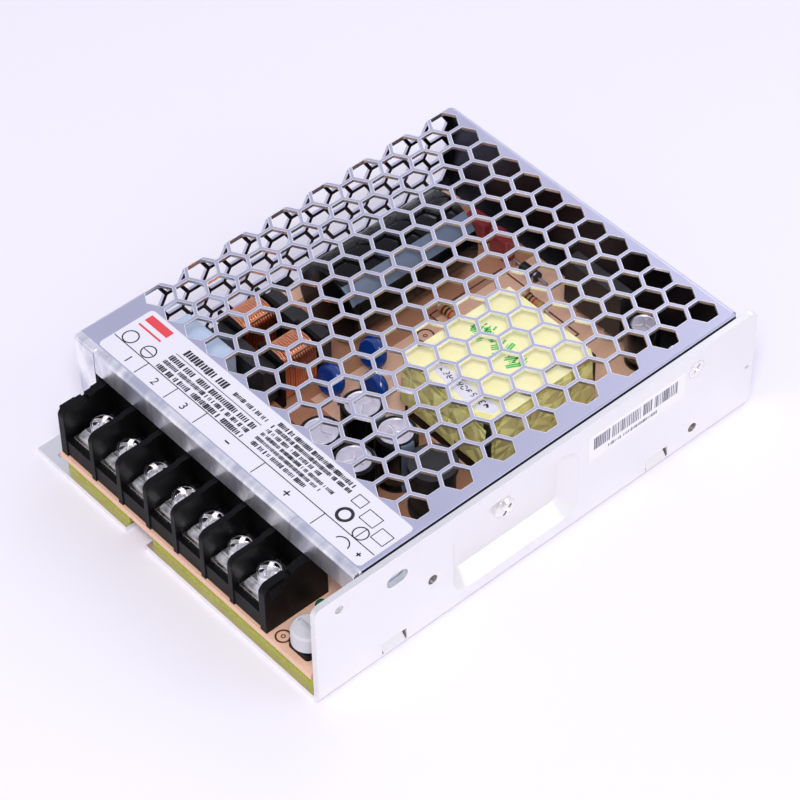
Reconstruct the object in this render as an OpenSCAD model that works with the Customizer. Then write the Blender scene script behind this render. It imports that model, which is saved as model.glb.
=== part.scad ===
// Mesh case switching power supply: a folded aluminium chassis with a perforated cover
// over a circuit board, and a row of screw terminals along the front edge.
// The origin is the middle of the footprint, on the floor. +X points to the solid side
// wall, +Y to the rear and +Z up. Lengths called "from the front" start at the front edge.

/* [Case] */
// Overall width, from the perforated side to the solid wall
case_w = 97; // [96:0.5:104]
// Overall length, from the terminal edge to the rear edge
case_l = 129; // [128:0.5:142]
// Overall height
case_h = 30; // [29.5:0.25:34]
// Thickness of the chassis sheet
chassis_t = 1.5; // [1.2:0.1:1.8]
// Outside radius of the fold between the base and the wall
fold_r = 2; // [1.9:0.1:3]
// Radius of the wall's two upper corners
wall_corner_r = 2; // [0.5:0.5:4]
// Height of the low lip along the base's left edge
base_lip_h = 5; // [3.5:0.25:5.5]
// Width of the open notch in the base's front edge
notch_w = 7; // [5:0.5:8]
// Depth of the open notch in the base's front edge
notch_d = 4.6; // [3:0.2:6]

/* [Wall recess] */
// Length of the stamped recess in the wall
recess_l = 37; // [35:0.5:40]
// Height of the stamped recess in the wall
recess_h = 20.7; // [19:0.1:21]
// Depth of the stamped recess
recess_d = 3.5; // [2.6:0.1:3.6]
// Corner radius of the recess at the wall's face
recess_r = 5; // [4.5:0.5:7]
// Distance of the recess from the front
recess_y = 38; // [37:0.5:40]
// Height of the recess's lower edge
recess_z = 4.8; // [4.4:0.1:5]

/* [Cover] */
// Thickness of the cover sheet
cover_t = 0.8; // [0.6:0.1:1]
// Outside radius of the cover's folds
cover_r = 1.3; // [1.2:0.1:1.8]
// Outside radius of the fold beside the solid wall
side_fold_r = 0.9; // [0.85:0.05:1.3]
// Distance from the front edge to the cover's lip
cover_front = 12.8; // [12.6:0.1:14]
// Distance from the rear edge to the cover's rear flange
cover_back = 3.1; // [2:0.1:4]
// How far the cover's top lies under the wall's upper edge
cover_drop = 0.4; // [0:0.1:0.6]
// Depth of the flange that slides down inside the wall
side_flange_h = 3; // [2:0.1:3.2]
// Width of the solid tab at the front left corner
corner_tab_w = 7.5; // [6:0.1:8]

/* [Perforation] */
// Distance between neighbouring holes
hex_pitch = 7.08; // [6:0.02:9]
// Width of the strip of metal between two holes
hex_web = 0.9; // [0.7:0.05:1.5]
// Distance from the front to the first row of holes
hex_first_y = 34.4; // [33:0.1:36]
// Distance from the left side to the first hole on the top
hex_first_x = 3.8; // [3.4:0.1:4.2]

/* [Circuit board] */
// Height of the board's underside over the floor
board_z = 6.2; // [5.8:0.1:6.6]
// Thickness of the board
board_t = 1.6; // [1.2:0.1:1.8]
// Thickness of the insulating film under the board
film_t = 0.3; // [0.2:0.05:0.5]
// How far the film's front stands back from the base's front edge
film_setback = 1.5; // [0.4:0.1:2]
// Radius of the two screws that hold the board
board_screw_r = 1.5; // [1.25:0.05:1.6]

/* [Terminal block] */
// Number of poles
poles = 7; // [5:1:7]
// Distance between neighbouring poles
pole_pitch = 9.5; // [8.8:0.1:9.6]
// Thickness of the walls between poles
barrier_t = 1.4; // [1:0.1:1.6]
// Thickness of the block's two end plates
block_end_t = 2; // [1.8:0.1:2.2]
// Depth of the block from front to back
block_d = 17.2; // [16.5:0.1:18]
// Height of the block over the board
block_h = 14.4; // [13.6:0.1:14.6]
// Height of the floor that the contacts lie on, over the board
block_floor = 4.8; // [4:0.1:5]
// Distance of the block from the case's left side
block_inset = 9.5; // [9:0.1:10]
// Radius of the terminal screws' shanks
screw_r = 1.7; // [1.5:0.05:1.8]
// Radius of the terminal screws' heads
screw_head_r = 3.3; // [3:0.1:3.4]
// Length of the terminal screws' shanks
screw_l = 5.4; // [5:0.1:5.6]

/* [Trimmer and lamp] */
// Radius of the trimmer's knob
knob_r = 3.9; // [3.4:0.1:4.1]
// Height of the trimmer's knob
knob_h = 4.2; // [3:0.1:5]
// Radius of the indicator lamp
led_r = 1.5; // [1.25:0.05:2]

/* [Power parts] */
// Width of the transformer
transformer_w = 29; // [27:0.5:30]
// Length of the transformer
transformer_l = 33; // [30:0.5:34]
// Height of the transformer
transformer_h = 17.8; // [16:0.1:18.5]
// Diameter of the reservoir capacitor
reservoir_d = 20; // [18:0.5:20.2]
// Length of the reservoir capacitor
reservoir_l = 38; // [30:0.5:39]
// Diameter of the output capacitors
output_cap_d = 10; // [8:0.5:10.4]
// Height of the output capacitors
output_cap_h = 15; // [10:0.5:19]
// Width of the line filter over both windings
choke_w = 22; // [20:0.5:23]
// Length of the line filter
choke_l = 20; // [18:0.5:21]
// Diameter of the disc capacitors
disc_d = 8; // [6:0.5:8.5]
// Width of the interference capacitor's box
film_box_w = 17; // [15:0.5:18]
// Height of the interference capacitor's box
film_box_h = 14.5; // [11:0.5:16]

/* [Labels] */
// Thickness of the two stuck-on labels
label_t = 0.1; // [0.05:0.05:0.2]

/* [Hidden] */
$fn = 48;
joint_gap = 0.05;   // running clearance round shafts
seat_gap = 0.2;     // clearance between parts that only lie side by side
cut = 1;            // how far cutting shapes run past a face

x_left = -case_w / 2;
x_right = case_w / 2;
wall_x = x_right - chassis_t;            // inner face of the wall
y_front = -case_l / 2;
y_rear = case_l / 2;
cover_top = case_h - cover_drop;
cover_under = cover_top - cover_t;
cover_y0 = y_front + cover_front;
cover_y1 = y_rear - cover_back;
cover_x1 = wall_x - 0.7;                 // outer face of the flange inside the wall
board_top = board_z + board_t;
board_x0 = x_left + 3.5;
board_x1 = wall_x - 0.9;
board_y0 = y_front + 0.1;
board_y1 = y_rear - 8;
board_front_x0 = x_left + block_inset - 0.5;   // the board is narrower beside the corner tab
pad_t = 0.3;                             // heat conducting pad
recess_floor_x = wall_x - recess_d;      // inner face of the recess's floor
recess_mid_y = y_front + recess_y + recess_l / 2;
clamp_screw_y = recess_mid_y - 1.3;
clamp_screw_z = recess_z + 13.6;
m3_r = 1.5;
m3_tap_r = 1.25;
fold_side = chassis_t * tan(22.5);       // how much wider a folded slope is on its back

// Rows of hexagonal holes, which run on round the left fold and down the side
hex_af = hex_pitch - hex_web;
hex_row = hex_pitch * sin(60);
hex_rows = floor((cover_y1 - y_front - hex_first_y - 5) / hex_row) + 1;
fold_arc = (cover_r - cover_t / 2) * PI / 2;
flange_strip = 3.9;                      // solid strip along the lower edge of the side
function row_y(row) = y_front + hex_first_y + row * hex_row;

// Places of screws and holes, as distances from the front
rear_screw_inset = 18.7;                 // the rear screws' distance from the rear edge
side_hole_y = [32.6, case_l - rear_screw_inset];
side_hole_z = [14.4, 5.6];
base_hole_x = 32.5;
lance_y = [17.8, 95.7];
lance_l = 6.9;
lance_gap = 0.4;
lance_lean = 2.7;
lance_reach = lance_lean + 1.3;          // room kept free of film beside the tabs
boss_x = x_left + 7.4;
boss_y = [y_front + 24, board_y1 - 4.5];
boss_r = 2.9;
boss_foot_r = 4.6;
cover_screw_y = y_rear - rear_screw_inset;
cover_screw_z = case_h - 5.6;
lip_screw_rows = [0, 2 * floor((hex_rows - 1) / 2) - 2];   // even rows leave the strip widest
lip_screw_y = [for (row = lip_screw_rows) row_y(row)];
lip_screw_z = 3;
lip_screw_l = 4.4;
board_screw_head_r = 2.7;
sink_r = 2.4;                            // countersinks of the cover's screws
sink_d = 0.8;

// Terminal block
block_x0 = x_left + block_inset;
block_w = poles * pole_pitch + 2 * block_end_t;
block_y0 = y_front + 0.4;
block_y1 = block_y0 + block_d;
block_rib = 0.4;                         // feet and barriers stand this far proud
floor_z = board_top + block_floor;
block_top = board_top + block_h;
screw_y = y_front + 7.5;
contact_t = 1;
contact_w = pole_pitch - barrier_t - 0.3;
contact_y0 = y_front + 2;
contact_y1 = y_front + 12.6;
tail_t = 0.8;
tail_w = 3;
contact_z = floor_z + contact_t;
washer_t = 0.8;
washer_w = contact_w - 0.6;
washer_l = 7.6;
washer_z = contact_z + joint_gap;
head_z = washer_z + washer_t;
head_h = 2.4;
back_wall = 3.6;                         // thickness of the wall behind the poles

// Trimmer and lamp
trimmer_x = wall_x - 7.1;
trimmer_y = y_front + 5;
trimmer_base = 6.6;
trimmer_base_h = 1.9;
knob_stem_r = 1.5;
knob_z = board_top + trimmer_base_h + 0.3;
led_x = wall_x - 11.5;
led_y = y_front + 12.4;

// Parts on the board, each placed from its neighbour
part_gap = 1;
leg_r = 0.4;
leg_spread = 2.5;
fuse_l = 18;
fuse_x = boss_x + board_screw_head_r + part_gap;
input_row_y = y_front + 22.5;            // fuse, thermistor and varistor behind the terminals
input_disc_d = 9;
input_disc_t = 4;
thermistor_x = fuse_x + fuse_l + part_gap + input_disc_d / 2;
film_box_l = 10;
film_box_x = x_left + 6.5 + film_box_w / 2;
film_box_y = y_front + 30;
choke_x = x_left + 10.5 + choke_w / 2;
choke_y = film_box_y + film_box_l + part_gap;
reservoir_x = x_left + 12 + reservoir_d / 2;
reservoir_y = choke_y + choke_l + 6.5;
reservoir_z = board_top + seat_gap + reservoir_d / 2;
disc_x = max(reservoir_x + reservoir_d / 2, choke_x + choke_w / 2) + part_gap + disc_d / 2;
disc_y = y_front + 55.2;
disc_t = 3;
transformer_x0 = disc_x + disc_d / 2 + 9.5;
transformer_y0 = y_front + 64;
output_cap_x = [transformer_x0 + 3.2, transformer_x0 + 14.2];
output_cap_y = [y_front + 38.2, y_front + 50.2];
choke_out_x = output_cap_x[1] + output_cap_d / 2 + 7;
device_y = [clamp_screw_y - 10.7, clamp_screw_y + 10.7];
device_face_x = recess_floor_x - pad_t;  // face of the metal tabs

function pole_x(k) = block_x0 + block_end_t + (k + 0.5) * pole_pitch;

// Quarter of a folded sheet's section, bent round the origin into the first quadrant
module fold_section(r, t) {
    intersection() {
        difference() {
            circle(r);
            circle(r - t);
        }
        square(r);
    }
}

// A section drawn in X and Z, drawn out along +Y
module along_y(length) {
    translate([0, length, 0]) rotate([90, 0, 0]) linear_extrude(length) children();
}

// A section drawn in Y and Z, drawn out along +X
module along_x(length) {
    rotate([90, 0, 90]) linear_extrude(length) children();
}

module box(x, y, z) {
    translate([x[0], y[0], z[0]]) cube([x[1] - x[0], y[1] - y[0], z[1] - z[0]]);
}

module round_box(w, l, h, r) {
    linear_extrude(h) round_rect(w, l, r);
}

module round_rect(w, l, r) {
    square([w - 2 * r, l], center = true);
    square([w, l - 2 * r], center = true);
    for (x = [-1, 1], y = [-1, 1])
        translate([x * (w / 2 - r), y * (l / 2 - r)]) circle(r);
}

// A round hole or pin along +X from a point on its axis
module rod_x(r, length) {
    rotate([0, 90, 0]) cylinder(r = r, h = length);
}

// A countersink that opens towards +X at the origin
module sink_x() {
    translate([-sink_d, 0, 0]) rotate([0, 90, 0])
        cylinder(r1 = m3_tap_r, r2 = sink_r, h = sink_d);
    translate([-0.001, 0, 0]) rod_x(sink_r, cut);
}

// A sloping-sided block with cone corners: length along Y, height along Z, sinking to -X
module stamped_block(length, height, depth, r) {
    inner = length / 2 - r;
    upper = height / 2 - r;
    small = r - depth;
    translate([0, inner, 0]) rotate([90, 0, 0]) linear_extrude(2 * inner)
        polygon([[0, -height / 2], [0, height / 2], [-depth, height / 2 - depth],
            [-depth, -height / 2 + depth]]);
    translate([0, 0, -upper]) linear_extrude(2 * upper)
        polygon([[0, -length / 2], [0, length / 2], [-depth, length / 2 - depth],
            [-depth, -length / 2 + depth]]);
    for (y = [-inner, inner], z = [-upper, upper])
        translate([0, y, z]) rotate([0, -90, 0]) cylinder(r1 = r, r2 = small, h = depth);
}

// ---- Case ----

module chassis_section() {
    translate([x_left, 0]) square([case_w - fold_r, chassis_t]);
    translate([x_right - fold_r, fold_r]) mirror([0, 1]) fold_section(fold_r, chassis_t);
    translate([wall_x, fold_r]) square([chassis_t, case_h - fold_r]);
}

module base_lip_section() {
    x = x_left + cover_t + seat_gap;
    translate([x + fold_r, fold_r]) mirror([1, 0]) mirror([0, 1])
        fold_section(fold_r, chassis_t);
    translate([x, fold_r]) square([chassis_t, base_lip_h - fold_r]);
}

module wall_corner_cut() {
    difference() {
        square(wall_corner_r + cut);
        circle(wall_corner_r);
    }
}

module board_boss() {
    rotate_extrude() polygon([[m3_tap_r, 0], [boss_foot_r, 0], [boss_foot_r, chassis_t],
        [boss_r, board_z], [m3_tap_r, board_z]]);
}

// A tab cut free of the wall on three sides and leant in until its edge is under the board
module lanced_tab(y) {
    h = board_z - fold_r;
    translate([wall_x, y, fold_r]) along_y(lance_l - 2 * lance_gap) polygon([[0, -0.3],
        [chassis_t - 0.1, -0.3], [chassis_t, 0], [chassis_t - lance_lean, h],
        [-lance_lean, h], [0, 0]]);
}

module chassis() {
    lip_y0 = cover_y0 + 1;
    lip_y1 = cover_y1 - 1;
    recess_mid_z = recess_z + recess_h / 2;
    color("#c9c8d6") difference() {
        union() {
            difference() {
                translate([0, y_front, 0]) along_y(case_l) chassis_section();
                // the base steps in where the cover's side comes down outside it
                box([x_left - cut, x_left + cover_t + seat_gap + fold_r],
                    [cover_y0 - seat_gap, y_rear + cut], [-cut, chassis_t + cut]);
                for (y = lance_y)
                    box([wall_x - cut, x_right + cut],
                        [y_front + y, y_front + y + lance_l], [fold_r, board_z - 0.9]);
            }
            translate([0, lip_y0, 0]) along_y(lip_y1 - lip_y0) base_lip_section();
            box([x_left + cover_t + seat_gap + fold_r / 2, x_left + cover_t + fold_r + cut],
                [lip_y1, y_rear], [0, chassis_t]);
            for (y = lance_y) lanced_tab(y_front + y + lance_gap);
            translate([wall_x, recess_mid_y, recess_mid_z])
                stamped_block(recess_l + 2 * fold_side, recess_h + 2 * fold_side, recess_d,
                    recess_r + fold_side);
            for (y = boss_y) translate([boss_x, y, 0]) board_boss();
        }
        translate([x_right, recess_mid_y, recess_mid_z])
            stamped_block(recess_l, recess_h, recess_d, recess_r);
        // the stamping of each boss leaves a dimple underneath
        for (y = boss_y) translate([boss_x, y, -cut])
            cylinder(r = m3_tap_r, h = board_z + 2 * cut);
        for (y = boss_y) translate([boss_x, y, 0])
            cylinder(r1 = boss_foot_r - 1.4, r2 = boss_r - 1.2, h = board_z - 2.4);
        // open notch in the front edge
        translate([x_left + 35.5, y_front, -cut]) {
            round_box(notch_w, 2 * notch_d, chassis_t + 2 * cut, 1);
        }
        // rounded upper corners of the wall
        translate([wall_x - cut, y_front + wall_corner_r, case_h - wall_corner_r])
            along_x(chassis_t + 2 * cut) mirror([1, 0]) wall_corner_cut();
        translate([wall_x - cut, y_rear - wall_corner_r, case_h - wall_corner_r])
            along_x(chassis_t + 2 * cut) wall_corner_cut();
        // small notch in the wall's rear edge
        box([wall_x - cut, x_right + cut], [y_rear - 2.4, y_rear + cut], [12.9, 13.9]);
        // wall holes: two fixing holes, a slot, a locating hole and the screws
        for (i = [0, 1]) translate([wall_x - cut, y_front + side_hole_y[i], side_hole_z[i]])
            rod_x(m3_tap_r, chassis_t + 2 * cut);
        translate([x_right - 0.4, y_front + side_hole_y[0], side_hole_z[0]])
            rotate([0, 90, 0]) cylinder(r1 = m3_tap_r, r2 = 2.4, h = 0.4);
        translate([wall_x - cut, y_front + 22.4, 23.3]) along_x(chassis_t + 2 * cut)
            round_rect(5.8, 3.4, 1.69);
        translate([wall_x - cut, y_front + 6.5, 26]) rod_x(1.1, chassis_t + 2 * cut);
        translate([wall_x - cut, cover_screw_y, cover_screw_z])
            rod_x(m3_tap_r, chassis_t + 2 * cut);
        translate([x_right, cover_screw_y, cover_screw_z]) sink_x();
        translate([recess_floor_x - cut, clamp_screw_y, clamp_screw_z])
            rod_x(m3_r + 0.15, chassis_t + 2 * cut);
        // base holes: four fixing holes and a small hole in the front corner
        for (x = [-base_hole_x, base_hole_x], y = side_hole_y)
            translate([x, y_front + y, -cut]) cylinder(r = m3_tap_r, h = chassis_t + 2 * cut);
        translate([x_left + 5.5, y_front + 2.6, -cut])
            cylinder(r = 0.9, h = chassis_t + 2 * cut);
        for (y = lip_screw_y) translate([x_left, y, lip_screw_z])
            rod_x(m3_tap_r, cover_t + chassis_t + cut);
    }
}

// ---- Perforated cover ----

module hex_hole(height) {
    rotate([0, 0, 30]) cylinder(d = hex_af / cos(30), h = height, $fn = 6);
}

// Distance of a hole from the fold's upper edge, along the flat sheet, downwards
function hole_run(row, i) = cover_r - hex_first_x + (row % 2 == 0 ? 0 : -hex_pitch / 2)
    + i * hex_pitch;

module row_of_holes(row) {
    side_low = flange_strip + hex_af / 2;
    for (i = [-ceil(case_w / hex_pitch):ceil(case_h / hex_pitch) + 1]) {
        run = hole_run(row, i);
        x = x_left + cover_r - run;
        z = cover_top - cover_r - (run - fold_arc);
        near_fold = run > -cover_r && run < fold_arc + cover_r;
        if (run < -cover_r && x < cover_x1 - hex_af / 2 - 2.1)
            translate([x, row_y(row), cover_under - cut]) hex_hole(cover_t + 2 * cut);
        if (near_fold) {
            translate([x, row_y(row), cover_top - cover_r]) hex_hole(cover_r + cut);
            translate([x_left - cut, row_y(row), z]) rotate([0, 90, 0])
                hex_hole(cover_r + cut);
        }
        if (run > fold_arc + cover_r && z > side_low)
            translate([x_left - cut, row_y(row), z]) rotate([0, 90, 0])
                hex_hole(cover_t + 2 * cut);
    }
}

// Left side, fold, top, fold and the short flange inside the wall
module cover_section(low) {
    translate([x_left, low]) square([cover_t, cover_top - cover_r - low]);
    translate([x_left + cover_r, cover_top - cover_r]) mirror([1, 0])
        fold_section(cover_r, cover_t);
    translate([x_left + cover_r, cover_under])
        square([cover_x1 - x_left - cover_r - side_fold_r, cover_t]);
    translate([cover_x1 - side_fold_r, cover_top - side_fold_r])
        fold_section(side_fold_r, cover_t);
    translate([cover_x1 - cover_t, cover_top - side_flange_h])
        square([cover_t, side_flange_h - side_fold_r]);
}

module cover_lip_section(low) {
    translate([cover_r, cover_top - cover_r]) mirror([1, 0])
        fold_section(cover_r, cover_t);
    translate([0, low]) square([cover_t, cover_top - cover_r - low]);
}

module cover() {
    seam = 0.2;
    lip_x0 = x_left + corner_tab_w;
    lip_low = block_top + 0.4;
    side_low = 0.6;
    tab_low = chassis_t + seam;
    color("#d3d2de") difference() {
        union() {
            translate([0, cover_y0 + cover_r, 0])
                along_y(cover_y1 - cover_y0 - 2 * cover_r) cover_section(side_low);
            // front lip over the terminals
            translate([lip_x0, cover_y0, 0]) along_x(cover_x1 - 0.4 - lip_x0)
                cover_lip_section(lip_low);
            // solid tab that closes the front left corner
            translate([0, 0, tab_low]) linear_extrude(cover_under - seam - tab_low) {
                translate([x_left + cover_r, cover_y0 + cover_r]) rotate(180)
                    fold_section(cover_r, cover_t);
                translate([x_left + cover_r, cover_y0])
                    square([corner_tab_w - cover_r - seam, cover_t]);
            }
            box([x_left + cover_r, lip_x0], [cover_y0, cover_y0 + cover_r],
                [cover_under, cover_top]);
            // rear flange, and the side's edge that laps it
            translate([x_left + cover_r, cover_y1, 0]) mirror([0, 1])
                along_x(cover_x1 - x_left - 2 * cover_r) cover_lip_section(tab_low);
            translate([x_left + cover_t + seam, cover_y1 - cover_t, tab_low])
                cube([cover_r, cover_t, cover_top - cover_r - tab_low]);
            box([x_left, x_left + cover_t], [cover_y1 - cover_r, cover_y1],
                [side_low, cover_top - cover_r]);
            // ear that the side screw holds
            box([cover_x1 - cover_t, cover_x1], [cover_screw_y - 6, cover_screw_y + 6],
                [cover_screw_z - 4.2, cover_top - side_flange_h + seam]);
        }
        for (row = [0:hex_rows - 1]) row_of_holes(row);
        // the lip's right end is cut back at a slant
        translate([cover_x1 - 0.4, cover_y0 - cut, lip_low - cut]) along_y(cover_t + 2 * cut)
            polygon([[cut, 0], [-3.4, 0], [-2.9, cut], [0, 6.5], [cut, 6.5]]);
        translate([cover_x1 - cover_t - cut, cover_screw_y, cover_screw_z])
            rod_x(m3_tap_r, cover_t + 2 * cut);
        for (y = lip_screw_y) translate([x_left, y, lip_screw_z]) {
            translate([-cut, 0, 0]) rod_x(m3_tap_r, cover_t + 2 * cut);
            mirror([1, 0, 0]) sink_x();
        }
    }
}

// ---- Board and film ----

module insulating_film() {
    film_x0 = board_front_x0 + 0.5;
    film_x1 = wall_x - lance_reach - 0.8;
    notch_x = x_left + 35.5;
    sheet_y0 = y_front + film_setback;
    color("#b4b63c") difference() {
        union() {
            box([film_x0 + 6, film_x1], [sheet_y0, board_y1], [chassis_t, chassis_t + film_t]);
            box([film_x0, film_x1 + 4], [sheet_y0, sheet_y0 + film_t], [chassis_t, board_z]);
            box([film_x0, film_x0 + 6 + cut], [sheet_y0, sheet_y0 + 10],
                [chassis_t, chassis_t + film_t]);
        }
        box([notch_x - notch_w / 2 - 0.6, notch_x + notch_w / 2 + 0.6],
            [y_front - cut, y_front + notch_d + 0.6], [0, board_z + cut]);
        for (x = [-base_hole_x, base_hole_x], y = side_hole_y)
            translate([x, y_front + y, 0]) cylinder(r = 4, h = board_z);
    }
}

module circuit_board() {
    recess_cut_x = recess_floor_x - 0.5;
    step_y = block_y1 + 0.4;
    color("#e2a98a") difference() {
        translate([0, 0, board_z]) linear_extrude(board_t) polygon([
            [board_front_x0, board_y0], [board_x1, board_y0],
            [board_x1, y_front + recess_y - 1.5], [recess_cut_x, y_front + recess_y - 1.5],
            [recess_cut_x, y_front + recess_y + recess_l + 1.5],
            [board_x1, y_front + recess_y + recess_l + 1.5], [board_x1, board_y1],
            [board_x0, board_y1], [board_x0, step_y], [board_front_x0, step_y]]);
        for (y = boss_y) translate([boss_x, y, board_z - cut])
            cylinder(r = board_screw_r + 0.1, h = board_t + 2 * cut);
        for (k = [0:poles - 1])
            box([pole_x(k) - tail_w / 2 - seat_gap, pole_x(k) + tail_w / 2 + seat_gap],
                [contact_y1 - tail_t - seat_gap, contact_y1 + seat_gap],
                [board_z - cut, board_top + cut]);
        for (y = device_y, i = [-1:1])
            translate([device_face_x - 2.4, y + i * 2.54, board_z - cut])
                cylinder(r = 0.7, h = board_t + 2 * cut);
    }
}

// ---- Terminal block ----

// Side view of a barrier: rounded at the front, with a low step up to the rear
module barrier_section() {
    corner_r = 2.2;
    step_y = block_y0 + 9;
    step_h = 0.4;
    shoulder = block_top - step_h;
    difference() {
        polygon([[block_y0, board_top], [block_y0, shoulder], [step_y, shoulder],
            [step_y + step_h, block_top], [block_y1, block_top], [block_y1, board_top]]);
        translate([block_y0 + corner_r, shoulder - corner_r]) mirror([1, 0]) difference() {
            square(corner_r + cut);
            circle(corner_r);
        }
    }
}

module terminal_block() {
    body_low = board_top + block_rib;
    well_low = head_z + joint_gap - screw_l - 0.3;
    well_gap = 0.4;
    color("#26262b") difference() {
        union() {
            translate([block_x0, 0, 0]) along_x(block_end_t) barrier_section();
            translate([block_x0 + block_w - block_end_t, 0, 0]) along_x(block_end_t)
                barrier_section();
            for (k = [1:poles - 1])
                translate([block_x0 + block_end_t + k * pole_pitch - barrier_t / 2, 0, 0])
                    along_x(barrier_t) barrier_section();
            box([block_x0, block_x0 + block_w], [block_y0 + 0.3, block_y1 - 0.3],
                [body_low, floor_z]);
            box([block_x0, block_x0 + block_w], [block_y1 - back_wall, block_y1 - 0.3],
                [floor_z - cut, block_top - 1.2]);
            // outward rim of the end plates
            for (x = [block_x0 - 0.8, block_x0 + block_w - cut])
                box([x, x + 0.8 + cut], [block_y0 + 1.2, block_y0 + 5.2],
                    [block_top - 3.6, block_top - 1.1]);
        }
        for (k = [0:poles - 1]) {
            translate([pole_x(k), screw_y, well_low])
                cylinder(r = screw_r + well_gap, h = floor_z);
            box([pole_x(k) - tail_w / 2 - seat_gap / 2, pole_x(k) + tail_w / 2 + seat_gap / 2],
                [contact_y1 - tail_t - seat_gap / 2, contact_y1 + seat_gap / 2],
                [board_top - cut, floor_z + cut]);
        }
        // catch notches in the end plates' upper edges
        for (x = [block_x0, block_x0 + block_w - block_end_t])
            box([x - 2, x + block_end_t + 2], [block_y0 + 6.4, block_y0 + 7.4],
                [block_top - 1.2, block_top + cut]);
    }
}

module terminal_contacts() {
    color("#d9d2c4") for (k = [0:poles - 1]) translate([pole_x(k), 0, 0]) difference() {
        union() {
            box([-contact_w / 2, contact_w / 2], [contact_y0, contact_y1],
                [floor_z, contact_z]);
            box([-tail_w / 2, tail_w / 2], [contact_y1 - tail_t, contact_y1],
                [board_z - 1, contact_z]);
        }
        translate([0, screw_y, floor_z - cut])
            cylinder(r = screw_r + joint_gap, h = contact_t + 2 * cut);
    }
}

module clamp_washer(k) {
    color("#e4e2df") translate([pole_x(k), screw_y, washer_z]) difference() {
        round_box(washer_w, washer_l, washer_t, 0.6);
        translate([0, 0, -cut]) cylinder(r = screw_r + joint_gap, h = washer_t + 2 * cut);
    }
}

module terminal_screw(k) {
    rim_h = 1.1;
    crown_h = head_h - rim_h;
    crown_r = (screw_head_r * screw_head_r + crown_h * crown_h) / (2 * crown_h);
    drive_w = 0.9;
    drive_l = 4.6;
    drive_d = 1.3;
    color("#d6d2cc") translate([pole_x(k), screw_y, head_z + joint_gap]) difference() {
        union() {
            intersection() {
                cylinder(r = screw_head_r, h = head_h);
                translate([0, 0, head_h - crown_r]) sphere(crown_r);
            }
            translate([0, 0, -screw_l]) cylinder(r = screw_r, h = screw_l + head_h / 2);
        }
        // cross recess, wider at its middle
        for (a = [45, 135]) rotate(a) translate([-drive_l / 2, -drive_w / 2, head_h - drive_d])
            cube([drive_l, drive_w, drive_d + cut]);
        translate([0, 0, head_h - drive_d - 0.3])
            cylinder(r1 = drive_w / 2, r2 = 1.3, h = drive_d + 0.35);
    }
}

// ---- Trimmer and lamp ----

module trimmer_body() {
    color("#1f1f24") translate([trimmer_x, trimmer_y, board_top]) difference() {
        round_box(trimmer_base, trimmer_base, trimmer_base_h, 1);
        translate([0, 0, 0.4]) cylinder(r = knob_stem_r + joint_gap, h = trimmer_base_h);
    }
}

module trimmer_knob() {
    slot_w = 1;
    slot_d = 0.9;
    color("#d8dae4") translate([trimmer_x, trimmer_y, knob_z]) difference() {
        union() {
            rotate_extrude() polygon([[0, 0], [knob_r, 0], [knob_r, knob_h - 0.5],
                [knob_r - 0.5, knob_h], [0, knob_h]]);
            translate([0, 0, -trimmer_base_h + 0.4]) cylinder(r = knob_stem_r,
                h = trimmer_base_h);
        }
        translate([-knob_r * 0.75, -slot_w / 2, knob_h - slot_d])
            cube([knob_r * 1.5, slot_w, slot_d + cut]);
    }
}

module indicator_lamp() {
    lamp_h = 3.2;
    color("#2f9e5b") translate([led_x, led_y, board_top]) rotate_extrude() {
        square([led_r + 0.4, 0.9]);
        square([led_r, lamp_h]);
        intersection() {
            translate([0, lamp_h]) circle(led_r);
            square([led_r, lamp_h + led_r]);
        }
    }
}

// ---- Transformer ----

transformer_mid = [transformer_x0 + transformer_w / 2, transformer_y0 + transformer_l / 2];
wrap_t = 0.4;
bobbin_rail_h = 3;
yoke_t = 6;
spool_wall = 1;
cheek_t = 0.8;
core_h = transformer_h - bobbin_rail_h - wrap_t;
core_w = transformer_w - 2 * wrap_t - 0.2;
core_l = transformer_l - 2 * wrap_t - 0.2;
spool_l = core_l - 2 * yoke_t - 0.4;
leg_w = 4.6;
mid_leg_w = 8;
mid_leg_h = core_h - 5;

module at_transformer(z) {
    translate([transformer_mid[0], transformer_mid[1], board_top + z]) children();
}

module transformer_core() {
    color("#34343a") at_transformer(bobbin_rail_h) {
        for (s = [-1, 1]) translate([0, s * (core_l - yoke_t) / 2, core_h / 2])
            cube([core_w, yoke_t, core_h], center = true);
        for (s = [-1, 1]) translate([s * (core_w - leg_w) / 2, 0, core_h / 2])
            cube([leg_w, core_l - 2, core_h], center = true);
        translate([0, 0, core_h / 2]) cube([mid_leg_w, core_l - 2, mid_leg_h], center = true);
    }
}

module transformer_bobbin() {
    spool_w = mid_leg_w + 2 * spool_wall;
    spool_h = mid_leg_h + 2 * spool_wall;
    color("#2a2a2e") difference() {
        union() {
            for (s = [-1, 1]) at_transformer(bobbin_rail_h / 2)
                translate([0, s * (transformer_l - 6) / 2, 0])
                    cube([transformer_w - 3, 6, bobbin_rail_h], center = true);
            at_transformer(bobbin_rail_h - 0.5)
                cube([spool_w, transformer_l - 11, 1], center = true);
            at_transformer(bobbin_rail_h + core_h / 2) {
                cube([spool_w, spool_l, spool_h], center = true);
                for (s = [-1, 1]) translate([0, s * (spool_l - cheek_t) / 2, -0.5])
                    cube([core_w - 2 * leg_w - 0.4, cheek_t, core_h], center = true);
            }
        }
        at_transformer(bobbin_rail_h + core_h / 2)
            cube([mid_leg_w + 0.1, core_l, mid_leg_h + 0.1], center = true);
    }
}

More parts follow.
